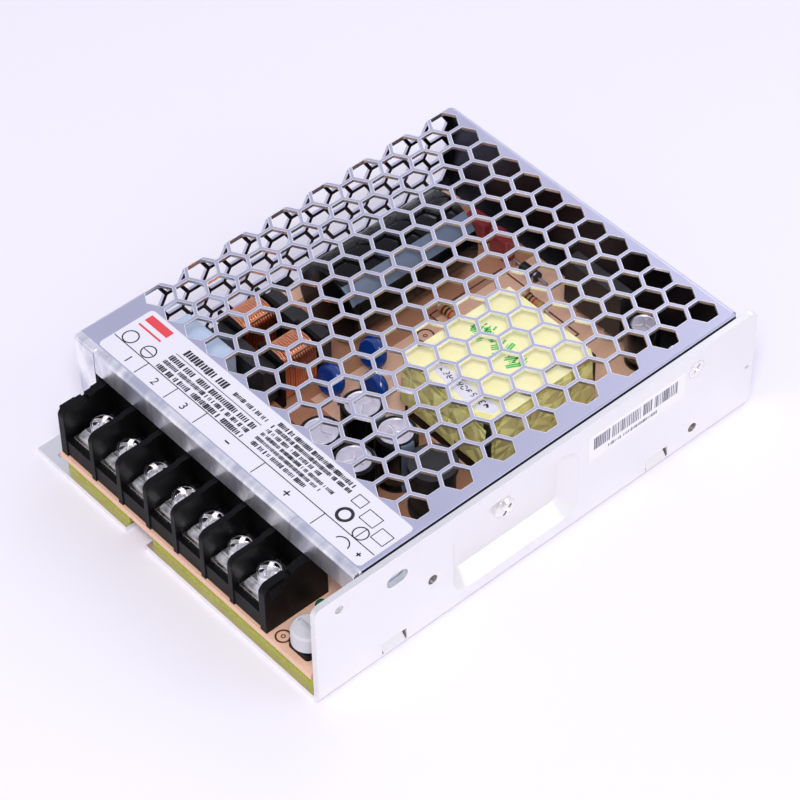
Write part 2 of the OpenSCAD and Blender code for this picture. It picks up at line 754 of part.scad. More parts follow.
module transformer_winding() {
    wind_l = spool_l - 2 * cheek_t - 0.4;
    color("#e8c56a") at_transformer(bobbin_rail_h + core_h / 2) difference() {
        cube([core_w - 2 * leg_w - 0.8, wind_l, core_h - 1], center = true);
        cube([mid_leg_w + 2 * spool_wall + 0.1, wind_l + cut, mid_leg_h + 2 * spool_wall + 0.1],
            center = true);
    }
}

// Tape round the whole core, closed over the top
module transformer_wrap() {
    wrap_h = core_h + wrap_t - joint_gap;
    color("#eeeaa6") at_transformer(transformer_h - wrap_h) difference() {
        round_box(transformer_w, transformer_l, wrap_h, 1.4);
        translate([0, 0, -cut])
            round_box(core_w + 0.1, core_l + 0.1, wrap_h - wrap_t + cut, 0.05);
    }
}

// ---- Other parts on the board ----

// A can capacitor standing on +Z, with its rolled groove and vented top
module can(d, h) {
    r = d / 2;
    rotate_extrude() {
        difference() {
            square([r, h]);
            translate([r + 0.5, 2]) circle(0.8);
        }
    }
}

module reservoir_capacitor() {
    color("#2b2b33") translate([reservoir_x, reservoir_y, reservoir_z]) rotate([-90, 0, 0])
        can(reservoir_d, reservoir_l);
}

choke_yoke = 4;
choke_leg = 5;
choke_leg_x = choke_w / 2 - 4;
choke_mid_z = board_top + 7.5;

module filter_core() {
    color("#303036") translate([choke_x, choke_y, choke_mid_z]) {
        for (y = [0, choke_l - choke_yoke])
            box([-choke_leg_x - choke_leg / 2, choke_leg_x + choke_leg / 2],
                [y, y + choke_yoke], [-choke_leg, choke_leg]);
        for (x = [-choke_leg_x, choke_leg_x])
            box([x - choke_leg / 2, x + choke_leg / 2], [1, choke_l - 1],
                [-choke_leg / 2, choke_leg / 2]);
    }
}

module filter_bobbins() {
    flange_y = choke_yoke + 0.1;
    color("#1e1e22") for (x = [-choke_leg_x, choke_leg_x])
        translate([choke_x + x, choke_y, choke_mid_z]) difference() {
            union() {
                for (y = [flange_y, choke_l - flange_y - 1])
                    box([-4, 4], [y, y + 1], [-7.5, 7]);
                box([-choke_leg / 2 - 0.8, choke_leg / 2 + 0.8],
                    [flange_y, choke_l - flange_y], [-choke_leg / 2 - 0.8, choke_leg / 2 + 0.8]);
            }
            box([-choke_leg / 2 - 0.1, choke_leg / 2 + 0.1], [0, choke_l],
                [-choke_leg / 2 - 0.1, choke_leg / 2 + 0.1]);
        }
}

module filter_windings() {
    wind_y0 = choke_yoke + 1.2;
    wind_l = choke_l - 2 * wind_y0;
    inside = choke_leg + 1.7;
    color("#e08a5c") for (x = [-choke_leg_x, choke_leg_x])
        translate([choke_x + x, choke_y + wind_y0 + wind_l, choke_mid_z])
            rotate([90, 0, 0]) linear_extrude(wind_l) difference() {
                round_rect(7.9, 13.4, 3);
                square([inside, inside], center = true);
            }
}

module interference_capacitor() {
    color("#bdd0ec") translate([film_box_x, film_box_y + film_box_l / 2, board_top])
        round_box(film_box_w, film_box_l, film_box_h, 0.8);
}

// A disc with a rounded rim on two legs, leaning back a little
module leaning_disc(d, t) {
    lean = 20;
    stand = d / 2 + 2;
    translate([0, 0, stand]) rotate([90 - lean, 0, 0]) rotate_extrude() {
        translate([0, -t / 2]) square([(d - t) / 2, t]);
        intersection() {
            translate([(d - t) / 2, 0]) circle(t / 2);
            translate([0, -t / 2]) square([d / 2, t]);
        }
    }
    for (x = [-leg_spread, leg_spread]) translate([x, 0, 0])
        cylinder(r = leg_r, h = stand - 1);
}

module disc_capacitors() {
    row_step = 12.5;
    places = [[disc_x, disc_y + row_step], [disc_x + disc_d + 0.4, disc_y + row_step - 7],
        [disc_x, disc_y]];
    color("#123e8c") for (p = places) translate([p[0], p[1], board_top])
        leaning_disc(disc_d, disc_t);
}

module output_capacitors() {
    color("#2a2a30") for (x = output_cap_x, y = output_cap_y) translate([x, y, board_top])
        can(output_cap_d, output_cap_h);
}

module output_choke() {
    choke_r = 5;
    color("#232327") translate([choke_out_x, output_cap_y[1], board_top]) {
        cylinder(r = choke_r + 0.6, h = 1.6);
        cylinder(r = choke_r - 0.4, h = 14);
        translate([0, 0, 2.2]) cylinder(r = choke_r, h = 10.6);
        translate([0, 0, 13]) cylinder(r = choke_r + 0.6, h = 1.6);
    }
}

// A glass fuse in its two clips
module fuse() {
    clip_l = 4;
    clip_r = 3;
    axis_h = clip_r + 0.6;
    color("#cfcfc8") translate([fuse_x, input_row_y + 0.5, board_top + axis_h]) {
        rod_x(clip_r - 0.4, fuse_l);
        for (x = [0, fuse_l - clip_l]) translate([x, 0, 0]) rod_x(clip_r, clip_l);
        for (x = [1, fuse_l - 3]) box([x, x + 2], [-1.5, 1.5], [-axis_h, 0]);
    }
}

module thermistor() {
    color("#3c4a3a") translate([thermistor_x, input_row_y, board_top])
        leaning_disc(input_disc_d, input_disc_t);
}

module varistor() {
    color("#2d5fae") translate([thermistor_x + input_disc_d + part_gap, input_row_y, board_top])
        leaning_disc(input_disc_d, input_disc_t);
}

module bridge_rectifier() {
    body_w = 18;
    body_t = 4;
    stand = 3;
    color("#202024") translate([transformer_x0 + 1, board_y1 - 7.5, board_top]) {
        box([0, body_w], [0, body_t], [stand, stand + 13]);
        for (i = [0:3]) box([1.6 + i * 4.6, 2.6 + i * 4.6], [1.5, 2.5], [0, stand + 0.5]);
    }
}

// A power device standing on its three legs, with its metal tab towards +X
module power_device() {
    body_w = 10;
    body_z = 3.4;
    body_h = 9;
    tab_t = 1.3;
    box([-4.4, -0.1], [-body_w / 2, body_w / 2], [body_z, body_z + body_h]);
    difference() {
        box([-tab_t, 0], [-body_w / 2, body_w / 2], [body_z, body_z + 12.6]);
        translate([-tab_t - cut, 0, body_z + 10.6]) rod_x(1.8, tab_t + 2 * cut);
    }
    for (i = [-1:1]) box([-2.8, -2], [i * 2.54 - 0.35, i * 2.54 + 0.35],
        [-board_t - 1, body_z + 0.5]);
}

module switching_transistor() {
    color("#222226") translate([device_face_x, device_y[1], board_top]) power_device();
}

module output_rectifier() {
    color("#222226") translate([device_face_x, device_y[0], board_top]) power_device();
}

module heat_pad() {
    color("#c8ccd0") difference() {
        box([device_face_x, recess_floor_x], [device_y[0] - 5.2, device_y[1] + 5.2],
            [board_top + 2.6, board_top + 13.4]);
        translate([device_face_x - cut, clamp_screw_y, clamp_screw_z])
            rod_x(m3_r + 0.3, pad_t + 2 * cut);
    }
}

// Spring strip that presses both power devices against the recess
module device_clamp() {
    strip = 0.8;
    press_x = device_face_x - 4.4 - strip;
    reach = device_y[1] - device_y[0];
    color("#b9bcc6") translate([0, clamp_screw_y, clamp_screw_z - 5]) difference() {
        linear_extrude(8) {
            translate([device_face_x - strip, -4.4]) square([strip, 8.8]);
            for (s = [-1, 1]) {
                translate([press_x, s > 0 ? 4.4 - strip : -4.4])
                    square([device_face_x - press_x, strip]);
                translate([press_x, s > 0 ? 4.4 - strip : -reach / 2 - 2])
                    square([strip, reach / 2 + 2 - 4.4 + strip]);
            }
        }
        translate([device_face_x - strip - cut, 0, 5]) rod_x(m3_r + 0.02, strip + 2 * cut);
    }
}

// A pan-head screw lying along +X, its head's seat at the origin and its shank towards -X
module pan_screw_x(r, head_r, head_h, length) {
    slot = 0.7;
    difference() {
        union() {
            translate([-length, 0, 0]) rod_x(r, length + head_h / 2);
            rod_x(head_r, head_h * 0.6);
            translate([head_h * 0.6, 0, 0]) rotate([0, 90, 0])
                cylinder(r1 = head_r, r2 = head_r - 0.7, h = head_h * 0.4);
        }
        for (a = [45, 135]) translate([head_h - 0.8, 0, 0]) rotate([a, 0, 0])
            box([0, 1 + cut], [-head_r * 0.6, head_r * 0.6], [-slot / 2, slot / 2]);
    }
}

module clamp_screw() {
    color("#c98f6c") translate([recess_floor_x + chassis_t, clamp_screw_y, clamp_screw_z])
        pan_screw_x(m3_r, 2.75, 1.8, chassis_t + 3);
}

// A countersunk screw lying along +X, its flat head flush with the origin
module flat_screw_x(length) {
    slot_d = 0.5;
    difference() {
        union() {
            translate([-length, 0, 0]) rod_x(m3_tap_r - 0.02, length - sink_d / 2);
            translate([-sink_d, 0, 0]) rotate([0, 90, 0])
                cylinder(r1 = m3_tap_r - 0.02, r2 = sink_r - joint_gap, h = sink_d);
        }
        for (a = [45, 135]) translate([-slot_d, 0, 0]) rotate([a, 0, 0])
            box([0, slot_d + cut], [-sink_r * 0.6, sink_r * 0.6], [-0.3, 0.3]);
    }
}

module cover_screws() {
    color("#cfd0da") {
        translate([x_right, cover_screw_y, cover_screw_z]) flat_screw_x(8);
        for (y = lip_screw_y) translate([x_left, y, lip_screw_z]) mirror([1, 0, 0])
            flat_screw_x(lip_screw_l);
    }
}

module board_screws() {
    color("#cfd0da") for (y = boss_y) translate([boss_x, y, board_top]) rotate([0, -90, 0])
        pan_screw_x(m3_tap_r - 0.02, board_screw_head_r, 1.8, 5);
}

// A round resistor lying along +X on its bent legs, its middle at the origin
module axial_resistor() {
    body_l = 6;
    body_r = 1.1;
    span = 9;
    axis_h = body_r + 0.4;
    translate([-body_l / 2, 0, axis_h]) rod_x(body_r, body_l);
    for (x = [-body_l / 2, body_l / 2 - 1.2]) translate([x, 0, axis_h]) rod_x(body_r + 0.15, 1.2);
    translate([-span / 2, 0, axis_h]) rod_x(0.3, span);
    for (x = [-span / 2 + 0.15, span / 2 - 0.15]) translate([x, 0, 0])
        cylinder(r = 0.3, h = axis_h + 0.15);
}

module board_resistors() {
    spots = [[disc_x + 4.5, film_box_y + 6], [disc_x + 4.5, film_box_y + 11],
        [disc_x - 0.5, transformer_y0 + transformer_l - 5], [disc_x + 9.5, board_y1 - 12]];
    color("#a8543c") for (p = spots) translate([p[0], p[1], board_top]) axial_resistor();
}

// A bare wire link along +Y between two points of the board
module wire_link(length) {
    rise = 0.9;
    translate([0, length / 2, rise]) rotate([90, 0, 0]) cylinder(r = 0.3, h = length);
    for (y = [-length / 2 + 0.15, length / 2 - 0.15]) translate([0, y, 0])
        cylinder(r = 0.3, h = rise + 0.15);
}

module wire_links() {
    spots = [[disc_x + 9, transformer_y0 + 10], [disc_x + 9, transformer_y0 + 22],
        [transformer_x0 + transformer_w + 2.2, transformer_y0 + 26]];
    color("#c9c9cc") for (p = spots) translate([p[0], p[1], board_top]) wire_link(7);
}

module optocoupler() {
    color("#e9e9e4") translate([transformer_x0 - 6, transformer_y0 + transformer_l + 6,
            board_top]) {
        box([-3.2, 3.2], [-2.3, 2.3], [0.6, 4.1]);
        for (x = [-3.8, 3.5], y = [-1.5, 1]) box([x, x + 0.3], [y, y + 0.5], [0, 2.4]);
        for (x = [-3.8, 3.1], y = [-1.5, 1]) box([x, x + 0.7], [y, y + 0.5], [2.2, 2.5]);
    }
}

module auxiliary_capacitor() {
    color("#24242a") translate([transformer_x0 + 25, board_y1 - 6, board_top]) can(8, 12);
}

module small_film_capacitors() {
    color("#8c2f36") for (x = [0, 8]) translate([reservoir_x - 1 + x, board_y1 - 5.5,
            board_top]) {
        round_box(6.4, 3.6, 6, 1.2);
    }
}

module snubber_diode() {
    color("#28282c") translate([disc_x - 1, board_y1 - 6, board_top + 1.5]) {
        rod_x(1.35, 5.2);
        translate([-3, 0, 0]) rod_x(0.35, 11.2);
        for (x = [-3, 7.9]) translate([x, 0, -1.5]) translate([0.15, 0, 0])
            cylinder(r = 0.35, h = 1.5);
    }
}

// ---- Labels ----

module rating_label() {
    x0 = x_left + 6.3;
    label_w = cover_x1 - cover_r - x0;
    label_l = 15.5;
    color("#e6e6ea") translate([x0 + label_w / 2, cover_y0 + 2.2 + label_l / 2, cover_top])
        round_box(label_w, label_l, label_t, 1.2);
}

module barcode_label() {
    label_l = 29.2;
    label_h = 7.5;
    y1 = cover_screw_y - sink_r - 1.1;
    color("#f4f4f6") box([x_right, x_right + label_t], [y1 - label_l, y1],
        [case_h - 4.5 - label_h, case_h - 4.5]);
}

chassis();
cover();
insulating_film();
circuit_board();
terminal_block();
terminal_contacts();
clamp_washer(0);  // clamp_washer_1
clamp_washer(1);  // clamp_washer_2
clamp_washer(2);  // clamp_washer_3
clamp_washer(3);  // clamp_washer_4
clamp_washer(4);  // clamp_washer_5
clamp_washer(5);  // clamp_washer_6
clamp_washer(6);  // clamp_washer_7
terminal_screw(0);  // terminal_screw_1
terminal_screw(1);  // terminal_screw_2
terminal_screw(2);  // terminal_screw_3
terminal_screw(3);  // terminal_screw_4
terminal_screw(4);  // terminal_screw_5
terminal_screw(5);  // terminal_screw_6
terminal_screw(6);  // terminal_screw_7
trimmer_body();
trimmer_knob();
indicator_lamp();
transformer_core();
transformer_bobbin();
transformer_winding();
transformer_wrap();
reservoir_capacitor();
filter_core();
filter_bobbins();
filter_windings();
interference_capacitor();
disc_capacitors();
output_capacitors();
output_choke();
fuse();
thermistor();
varistor();
bridge_rectifier();
switching_transistor();
output_rectifier();
heat_pad();
device_clamp();
clamp_screw();
cover_screws();
board_screws();
optocoupler();
auxiliary_capacitor();
small_film_capacitors();
snubber_diode();
board_resistors();
wire_links();
rating_label();
barcode_label();
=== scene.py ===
# Mesh case switching power supply: finishes, printed labels, windings and other fine pieces
import math
import random

import bmesh
import bpy
from mathutils import Matrix, Vector


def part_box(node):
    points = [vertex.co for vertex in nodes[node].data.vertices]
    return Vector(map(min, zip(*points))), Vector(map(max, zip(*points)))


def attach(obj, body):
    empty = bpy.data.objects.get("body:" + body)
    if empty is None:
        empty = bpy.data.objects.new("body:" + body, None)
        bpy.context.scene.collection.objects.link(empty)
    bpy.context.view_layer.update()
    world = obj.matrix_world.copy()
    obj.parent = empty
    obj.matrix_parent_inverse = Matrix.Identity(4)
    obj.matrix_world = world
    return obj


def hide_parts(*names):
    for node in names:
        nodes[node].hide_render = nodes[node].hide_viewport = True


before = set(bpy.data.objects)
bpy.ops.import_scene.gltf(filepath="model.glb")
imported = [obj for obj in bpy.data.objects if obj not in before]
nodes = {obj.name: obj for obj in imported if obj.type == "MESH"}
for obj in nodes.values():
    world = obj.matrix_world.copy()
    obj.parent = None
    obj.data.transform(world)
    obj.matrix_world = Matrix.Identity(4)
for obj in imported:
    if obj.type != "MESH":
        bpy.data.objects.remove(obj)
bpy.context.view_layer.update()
scene = bpy.context.scene
mm = 0.001
random.seed(7)
print("frame loaded:", len(nodes), "nodes")


# Small helpers: one for node trees, the rest for meshes

def toLinear(hexColour):
    parts = [int(hexColour[i:i + 2], 16) / 255 for i in (1, 3, 5)]
    return tuple(p / 12.92 if p <= 0.04045 else ((p + 0.055) / 1.055) ** 2.4
                 for p in parts) + (1.0,)


def addNode(tree, kind, sockets=None, **settings):
    node = tree.nodes.new(kind)
    for name, value in settings.items():
        setattr(node, name, value)
    for key, value in (sockets or {}).items():
        if isinstance(value, bpy.types.NodeSocket):
            tree.links.new(value, node.inputs[key])
        else:
            node.inputs[key].default_value = value
    return node


def cornersOf(nodeName):   # a CAD node's lowest and highest corners, in millimetres
    low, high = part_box(nodeName)
    return Vector(low) / mm, Vector(high) / mm


def keepPiece(name, mesh, material, body="root"):
    if not mesh.materials:
        for each in (material if isinstance(material, list) else [material]):
            mesh.materials.append(each)
    piece = bpy.data.objects.new(name, mesh)
    scene.collection.objects.link(piece)
    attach(piece, body)
    return piece


def closeMesh(name, shape):   # a bmesh in millimetres becomes a mesh in metres
    bmesh.ops.scale(shape, vec=(mm, mm, mm), verts=shape.verts)
    bmesh.ops.recalc_face_normals(shape, faces=shape.faces)
    mesh = bpy.data.meshes.new(name)
    shape.to_mesh(mesh)
    shape.free()
    return mesh


def addBlock(shape, low, high, materialIndex=0):
    size = [h - l for l, h in zip(low, high)]
    centre = [(h + l) / 2 for l, h in zip(low, high)]
    made = bmesh.ops.create_cube(shape, size=1, matrix=Matrix.Translation(centre)
                                 @ Matrix.Diagonal(size + [1]))
    for face in {f for v in made["verts"] for f in v.link_faces}:
        face.material_index = materialIndex
    return made["verts"]


def bridgeOutlines(shape, first, second, materialIndex=0):
    # two outlines of corners become a closed solid
    faces = [shape.faces.new(first[::-1]), shape.faces.new(second)]
    for i in range(len(first)):
        j = (i + 1) % len(first)
        faces.append(shape.faces.new((first[i], first[j], second[j], second[i])))
    for face in faces:
        face.material_index = materialIndex


def addPrism(shape, outline, low, high, materialIndex=0, place=Matrix()):
    # a flat outline with a thickness
    bottom = [shape.verts.new(place @ Vector((x, y, low))) for x, y in outline]
    top = [shape.verts.new(place @ Vector((x, y, high))) for x, y in outline]
    bridgeOutlines(shape, bottom, top, materialIndex)


def addRing(shape, centre, outer, inner, low, high, steps=48, arc=2 * math.pi, start=0):
    closed = arc >= 2 * math.pi - 0.001
    count = steps if closed else steps + 1
    loops = []
    for i in range(count):
        a = start + arc * i / steps
        loops.append([shape.verts.new((centre[0] + r * math.cos(a), centre[1] + r * math.sin(a),
                                       z)) for r, z in ((outer, low), (outer, high),
                                                        (inner, high), (inner, low))])
    for i in range(count if closed else count - 1):
        a, b = loops[i], loops[(i + 1) % count]
        for k in range(4):
            shape.faces.new((a[k], b[k], b[(k + 1) % 4], a[(k + 1) % 4]))
    if not closed:
        shape.faces.new(loops[0])
        shape.faces.new(loops[-1][::-1])


def spinProfile(shape, profile, place, steps=64):   # profile: radius, height, material index
    rings = []
    for radius, height, _ in profile:
        if radius < 1e-6:
            rings.append([shape.verts.new(place @ Vector((0, 0, height)))])
        else:
            rings.append([shape.verts.new(place @ Vector((
                radius * math.cos(2 * math.pi * i / steps),
                radius * math.sin(2 * math.pi * i / steps), height))) for i in range(steps)])
    for k in range(len(rings) - 1):
        a, b = rings[k], rings[k + 1]
        for i in range(steps):
            j = (i + 1) % steps
            if len(a) == 1:
                face = shape.faces.new((a[0], b[j], b[i]))
            elif len(b) == 1:
                face = shape.faces.new((a[i], a[j], b[0]))
            else:
                face = shape.faces.new((a[i], a[j], b[j], b[i]))
            face.material_index = profile[k][2]
            face.smooth = True


# Geometry Nodes: one helper starts a tree with named inputs, one bakes it to a plain mesh

def startTree(name, sizes):
    tree = bpy.data.node_groups.new(name, "GeometryNodeTree")
    kinds = {int: "NodeSocketInt", float: "NodeSocketFloat", tuple: "NodeSocketVector"}
    for label, value in sizes.items():
        tree.interface.new_socket(name=label, in_out="INPUT", socket_type=kinds[type(value)])
    tree.interface.new_socket(name="Mesh", in_out="OUTPUT", socket_type="NodeSocketGeometry")
    return tree, addNode(tree, "NodeGroupInput").outputs


def endTree(tree, geometry, material):
    real = addNode(tree, "GeometryNodeRealizeInstances", {0: geometry})
    painted = addNode(tree, "GeometryNodeSetMaterial", {
        "Geometry": real.outputs[0], "Material": material})
    addNode(tree, "NodeGroupOutput", {0: painted.outputs[0]})


def growMesh(name, tree, sizes, place=Matrix()):
    holder = bpy.data.objects.new(name + "Holder", bpy.data.meshes.new(name + "Holder"))
    scene.collection.objects.link(holder)
    modifier = holder.modifiers.new("grow", "NODES")
    modifier.node_group = tree
    for item in tree.interface.items_tree:
        if item.in_out == "INPUT":
            modifier[item.identifier] = sizes[item.name]
    grown = holder.evaluated_get(bpy.context.evaluated_depsgraph_get())
    mesh = bpy.data.meshes.new_from_object(grown)
    bpy.data.objects.remove(holder)
    mesh.transform(Matrix.Diagonal((mm, mm, mm, 1)) @ place)
    return mesh


def joinMeshes(name, meshes, material):
    shape = bmesh.new()
    for mesh in meshes:
        shape.from_mesh(mesh)
    joined = bpy.data.meshes.new(name)
    shape.to_mesh(joined)
    shape.free()
    joined.materials.append(material)
    return joined


def keepJoined(name, meshes, material):   # several meshes kept as one piece
    return keepPiece(name, joinMeshes(name, meshes, material), material)


# Camera, floor, lamps and world

camera = {
    "place": (0.37178, -0.32071, 0.52872),
    "right": (0.66465, 0.74705, -0.01228),
    "up": (-0.53742, 0.48943, 0.68676),
    "lens": 143.34, "sensor": 36,
}
back = Vector(camera["right"]).cross(Vector(camera["up"])).normalized()
up = Vector(camera["up"]).normalized()
right = up.cross(back).normalized()
eye = bpy.data.objects.new("camera", bpy.data.cameras.new("camera"))
scene.collection.objects.link(eye)
turn = Matrix((right, up, back)).transposed().to_4x4()
eye.matrix_world = Matrix.Translation(camera["place"]) @ turn
eye.data.lens = camera["lens"]
eye.data.sensor_width = camera["sensor"]
scene.camera = eye
scene.view_settings.view_transform = "Standard"

studio = {
    "floorColour": "#F0EEFA", "horizon": "#F9F7FD", "ceiling": "#CFCFE2", "fill": "#F7F5FA",
    "floorSize": 6.0, "fadeStart": 0.25, "fadeEnd": 1.1,
    "worldLevel": 0.98, "fillLevel": 0.64, "riseFrom": 0.12, "riseTo": 0.6,
    "lamps": [   # place in metres, width, watts, colour
        ("keyLamp", (0.52, -0.45, 1.0), 0.34, 7.4, "#FFFDFC"),
        ("sideLamp", (0.84, 0.6, 0.68), 0.55, 1.2, "#FBFAFF"),
        ("rearLamp", (-0.35, 0.95, 0.75), 0.5, 1.7, "#F6F5FF"),
    ],
}


def matteFloor():   # seamless studio paper: dull, pale, takes a soft shadow
    material = bpy.data.materials.new("studioPaper")
    material.use_nodes = True
    tree = material.node_tree
    tree.nodes.clear()
    paper = addNode(tree, "ShaderNodeBsdfDiffuse", {"Color": toLinear(studio["floorColour"])})
    # far from the object the camera sees the horizon's colour, so the paper has no far edge
    spot = addNode(tree, "ShaderNodeTexCoord")
    away = addNode(tree, "ShaderNodeVectorMath", {0: spot.outputs["Object"]}, operation="LENGTH")
    fade = addNode(tree, "ShaderNodeMapRange", {
        "Value": away.outputs["Value"], "From Min": studio["fadeStart"],
        "From Max": studio["fadeEnd"]})
    path = addNode(tree, "ShaderNodeLightPath")
    share = addNode(tree, "ShaderNodeMath", {
        0: fade.outputs[0], 1: path.outputs["Is Camera Ray"]}, operation="MULTIPLY")
    glow = addNode(tree, "ShaderNodeEmission", {
        "Color": toLinear(studio["horizon"]), "Strength": studio["worldLevel"]})
    surface = addNode(tree, "ShaderNodeMixShader", {
        0: share.outputs[0], 1: paper.outputs[0], 2: glow.outputs[0]})
    addNode(tree, "ShaderNodeOutputMaterial", {"Surface": surface.outputs[0]})
    return material


half = studio["floorSize"] / 2
floorMesh = bpy.data.meshes.new("floor")
floorMesh.from_pydata([(-half, -half, 0), (half, -half, 0), (half, half, 0), (-half, half, 0)],
                      [], [(0, 1, 2, 3)])
floorMesh.materials.append(matteFloor())
floor = bpy.data.objects.new("floor", floorMesh)
scene.collection.objects.link(floor)

for name, place, width, watts, colour in studio["lamps"]:
    lamp = bpy.data.lights.new(name, "AREA")
    lamp.energy = watts
    lamp.size = width
    lamp.color = toLinear(colour)[:3]
    holder = bpy.data.objects.new(name, lamp)
    holder.location = place
    holder.rotation_euler = (-Vector(place)).to_track_quat("-Z", "Y").to_euler()
    scene.collection.objects.link(holder)

world = bpy.data.worlds.new("studio")
scene.world = world
world.use_nodes = True
sky = world.node_tree
sky.nodes.clear()
skyPlace = addNode(sky, "ShaderNodeTexCoord")
skySplit = addNode(sky, "ShaderNodeSeparateXYZ", {0: skyPlace.outputs["Generated"]})
skyRise = addNode(sky, "ShaderNodeMapRange", {
    "Value": skySplit.outputs[2], "From Min": studio["riseFrom"], "From Max": studio["riseTo"]})
skyBlend = addNode(sky, "ShaderNodeMix", {
    "Factor": skyRise.outputs[0], "A": toLinear(studio["horizon"]),
    "B": toLinear(studio["ceiling"])}, data_type="RGBA")
skyPath = addNode(sky, "ShaderNodeLightPath")
skySeen = addNode(sky, "ShaderNodeMix", {
    "Factor": skyPath.outputs["Is Camera Ray"], "A": skyBlend.outputs["Result"],
    "B": toLinear(studio["horizon"])}, data_type="RGBA")
skyTone = addNode(sky, "ShaderNodeMix", {
    "Factor": skyPath.outputs["Is Diffuse Ray"], "A": skySeen.outputs["Result"],
    "B": toLinear(studio["fill"])}, data_type="RGBA")
skyFill = addNode(sky, "ShaderNodeMapRange", {
    "Value": skyPath.outputs["Is Diffuse Ray"], "To Min": studio["worldLevel"],
    "To Max": studio["fillLevel"]})
skyShade = addNode(sky, "ShaderNodeBackground", {
    "Color": skyTone.outputs["Result"], "Strength": skyFill.outputs[0]})
addNode(sky, "ShaderNodeOutputWorld", {"Surface": skyShade.outputs[0]})
print("camera, floor and lamps")


# Finishes. Each is named for the real surface; pattern sizes are in millimetres

def startMaterial(name, colour, **shaderSockets):
    material = bpy.data.materials.new(name)
    material.use_nodes = True
    tree = material.node_tree
    tree.nodes.clear()
    sockets = {"Base Color": toLinear(colour)}
    sockets.update({key.replace("_", " "): value for key, value in shaderSockets.items()})
    shader = addNode(tree, "ShaderNodeBsdfPrincipled", sockets)
    addNode(tree, "ShaderNodeOutputMaterial", {"Surface": shader.outputs[0]})
    return material, tree, shader


def pattern(tree, size, stretch=(1, 1, 1), detail=3.0, distortion=0.0):
    # cloudy noise of a real size in millimetres, drawn out along an axis whose stretch is under 1
    spot = addNode(tree, "ShaderNodeTexCoord")
    turned = addNode(tree, "ShaderNodeMapping", {
        "Vector": spot.outputs["Object"], "Scale": stretch})
    return addNode(tree, "ShaderNodeTexNoise", {
        "Vector": turned.outputs[0], "Scale": 1 / (size * mm), "Detail": detail,
        "Distortion": distortion}).outputs[0]


def relief(tree, shader, height, depth, edge=0.0):   # bump; edge rounds the corners
    bump = addNode(tree, "ShaderNodeBump", {"Height": height, "Distance": depth * mm})
    if edge:
        rounded = addNode(tree, "ShaderNodeBevel", {"Radius": edge * mm}, samples=8)
        tree.links.new(rounded.outputs[0], bump.inputs["Normal"])
    tree.links.new(bump.outputs[0], shader.inputs["Normal"])


noiseSpan = (0.3, 0.7)   # nearly all of the noise lies between these


def vary(tree, shader, socket, value, low, high):   # a pattern moves a socket between two levels
    level = addNode(tree, "ShaderNodeMapRange", {
        "Value": value, "From Min": noiseSpan[0], "From Max": noiseSpan[1], "To Min": low,
        "To Max": high})
    tree.links.new(level.outputs[0], shader.inputs[socket])


def tinted(tree, shader, value, dark, light):   # a pattern moves the colour between two tones
    tone = addNode(tree, "ShaderNodeMix", {
        "Factor": value, "A": toLinear(dark), "B": toLinear(light)}, data_type="RGBA")
    tree.links.new(tone.outputs["Result"], shader.inputs["Base Color"])
    return tone.outputs["Result"]


def boxMask(tree, boxes):   # 1 inside any of the boxes, given as low and high corners in mm
    spot = addNode(tree, "ShaderNodeTexCoord")
    axes = addNode(tree, "ShaderNodeSeparateXYZ", {0: spot.outputs["Object"]}).outputs
    total = None
    for low, high in boxes:
        inside = None
        for axis in range(3):
            for limit, operation in ((low[axis], "GREATER_THAN"), (high[axis], "LESS_THAN")):
                if limit is None:
                    continue
                test = addNode(tree, "ShaderNodeMath", {0: axes[axis], 1: limit * mm},
                               operation=operation).outputs[0]
                inside = test if inside is None else addNode(
                    tree, "ShaderNodeMath", {0: inside, 1: test}, operation="MULTIPLY").outputs[0]
        total = inside if total is None else addNode(
            tree, "ShaderNodeMath", {0: total, 1: inside}, operation="MAXIMUM").outputs[0]
    return total


sheetMetal = {
    "caseColour": "#F1F0EE", "grain": 0.35, "drawn": 0.06, "detail": 4.0, "cloud": 14,
    "depth": 0.006, "edge": 0.12,
}


def rolledAluminium(name, colour, shiny, dull):
    # Bare aluminium off the mill: fine lines along the rolling direction blur what it mirrors
    material, tree, shader = startMaterial(name, colour, Metallic=1.0)
    vary(tree, shader, "Roughness", pattern(tree, sheetMetal["cloud"]), shiny, dull)
    lines = pattern(tree, sheetMetal["grain"], (1, sheetMetal["drawn"], 1),
                    sheetMetal["detail"])
    relief(tree, shader, lines, sheetMetal["depth"], sheetMetal["edge"])
    return material


holes = {   # the punched pattern on the cover's top, in millimetres
    "pitch": 7.08, "row": 6.13, "centre": (-44.7, -30.1), "rows": 15, "right": 40.5,
    # the web's tone is darker and bluer than the case's bare aluminium: a painted reflection of
    # the bluish sky
    "web": 0.9, "rim": 0.16, "rimInside": 0.6, "margin": 1.0, "webReflectionTone": "#CBCBDE",
    # the rim is real, rolled over by the punch; its white is a painted highlight
    "rimHighlightColour": "#FFFFFF",
}


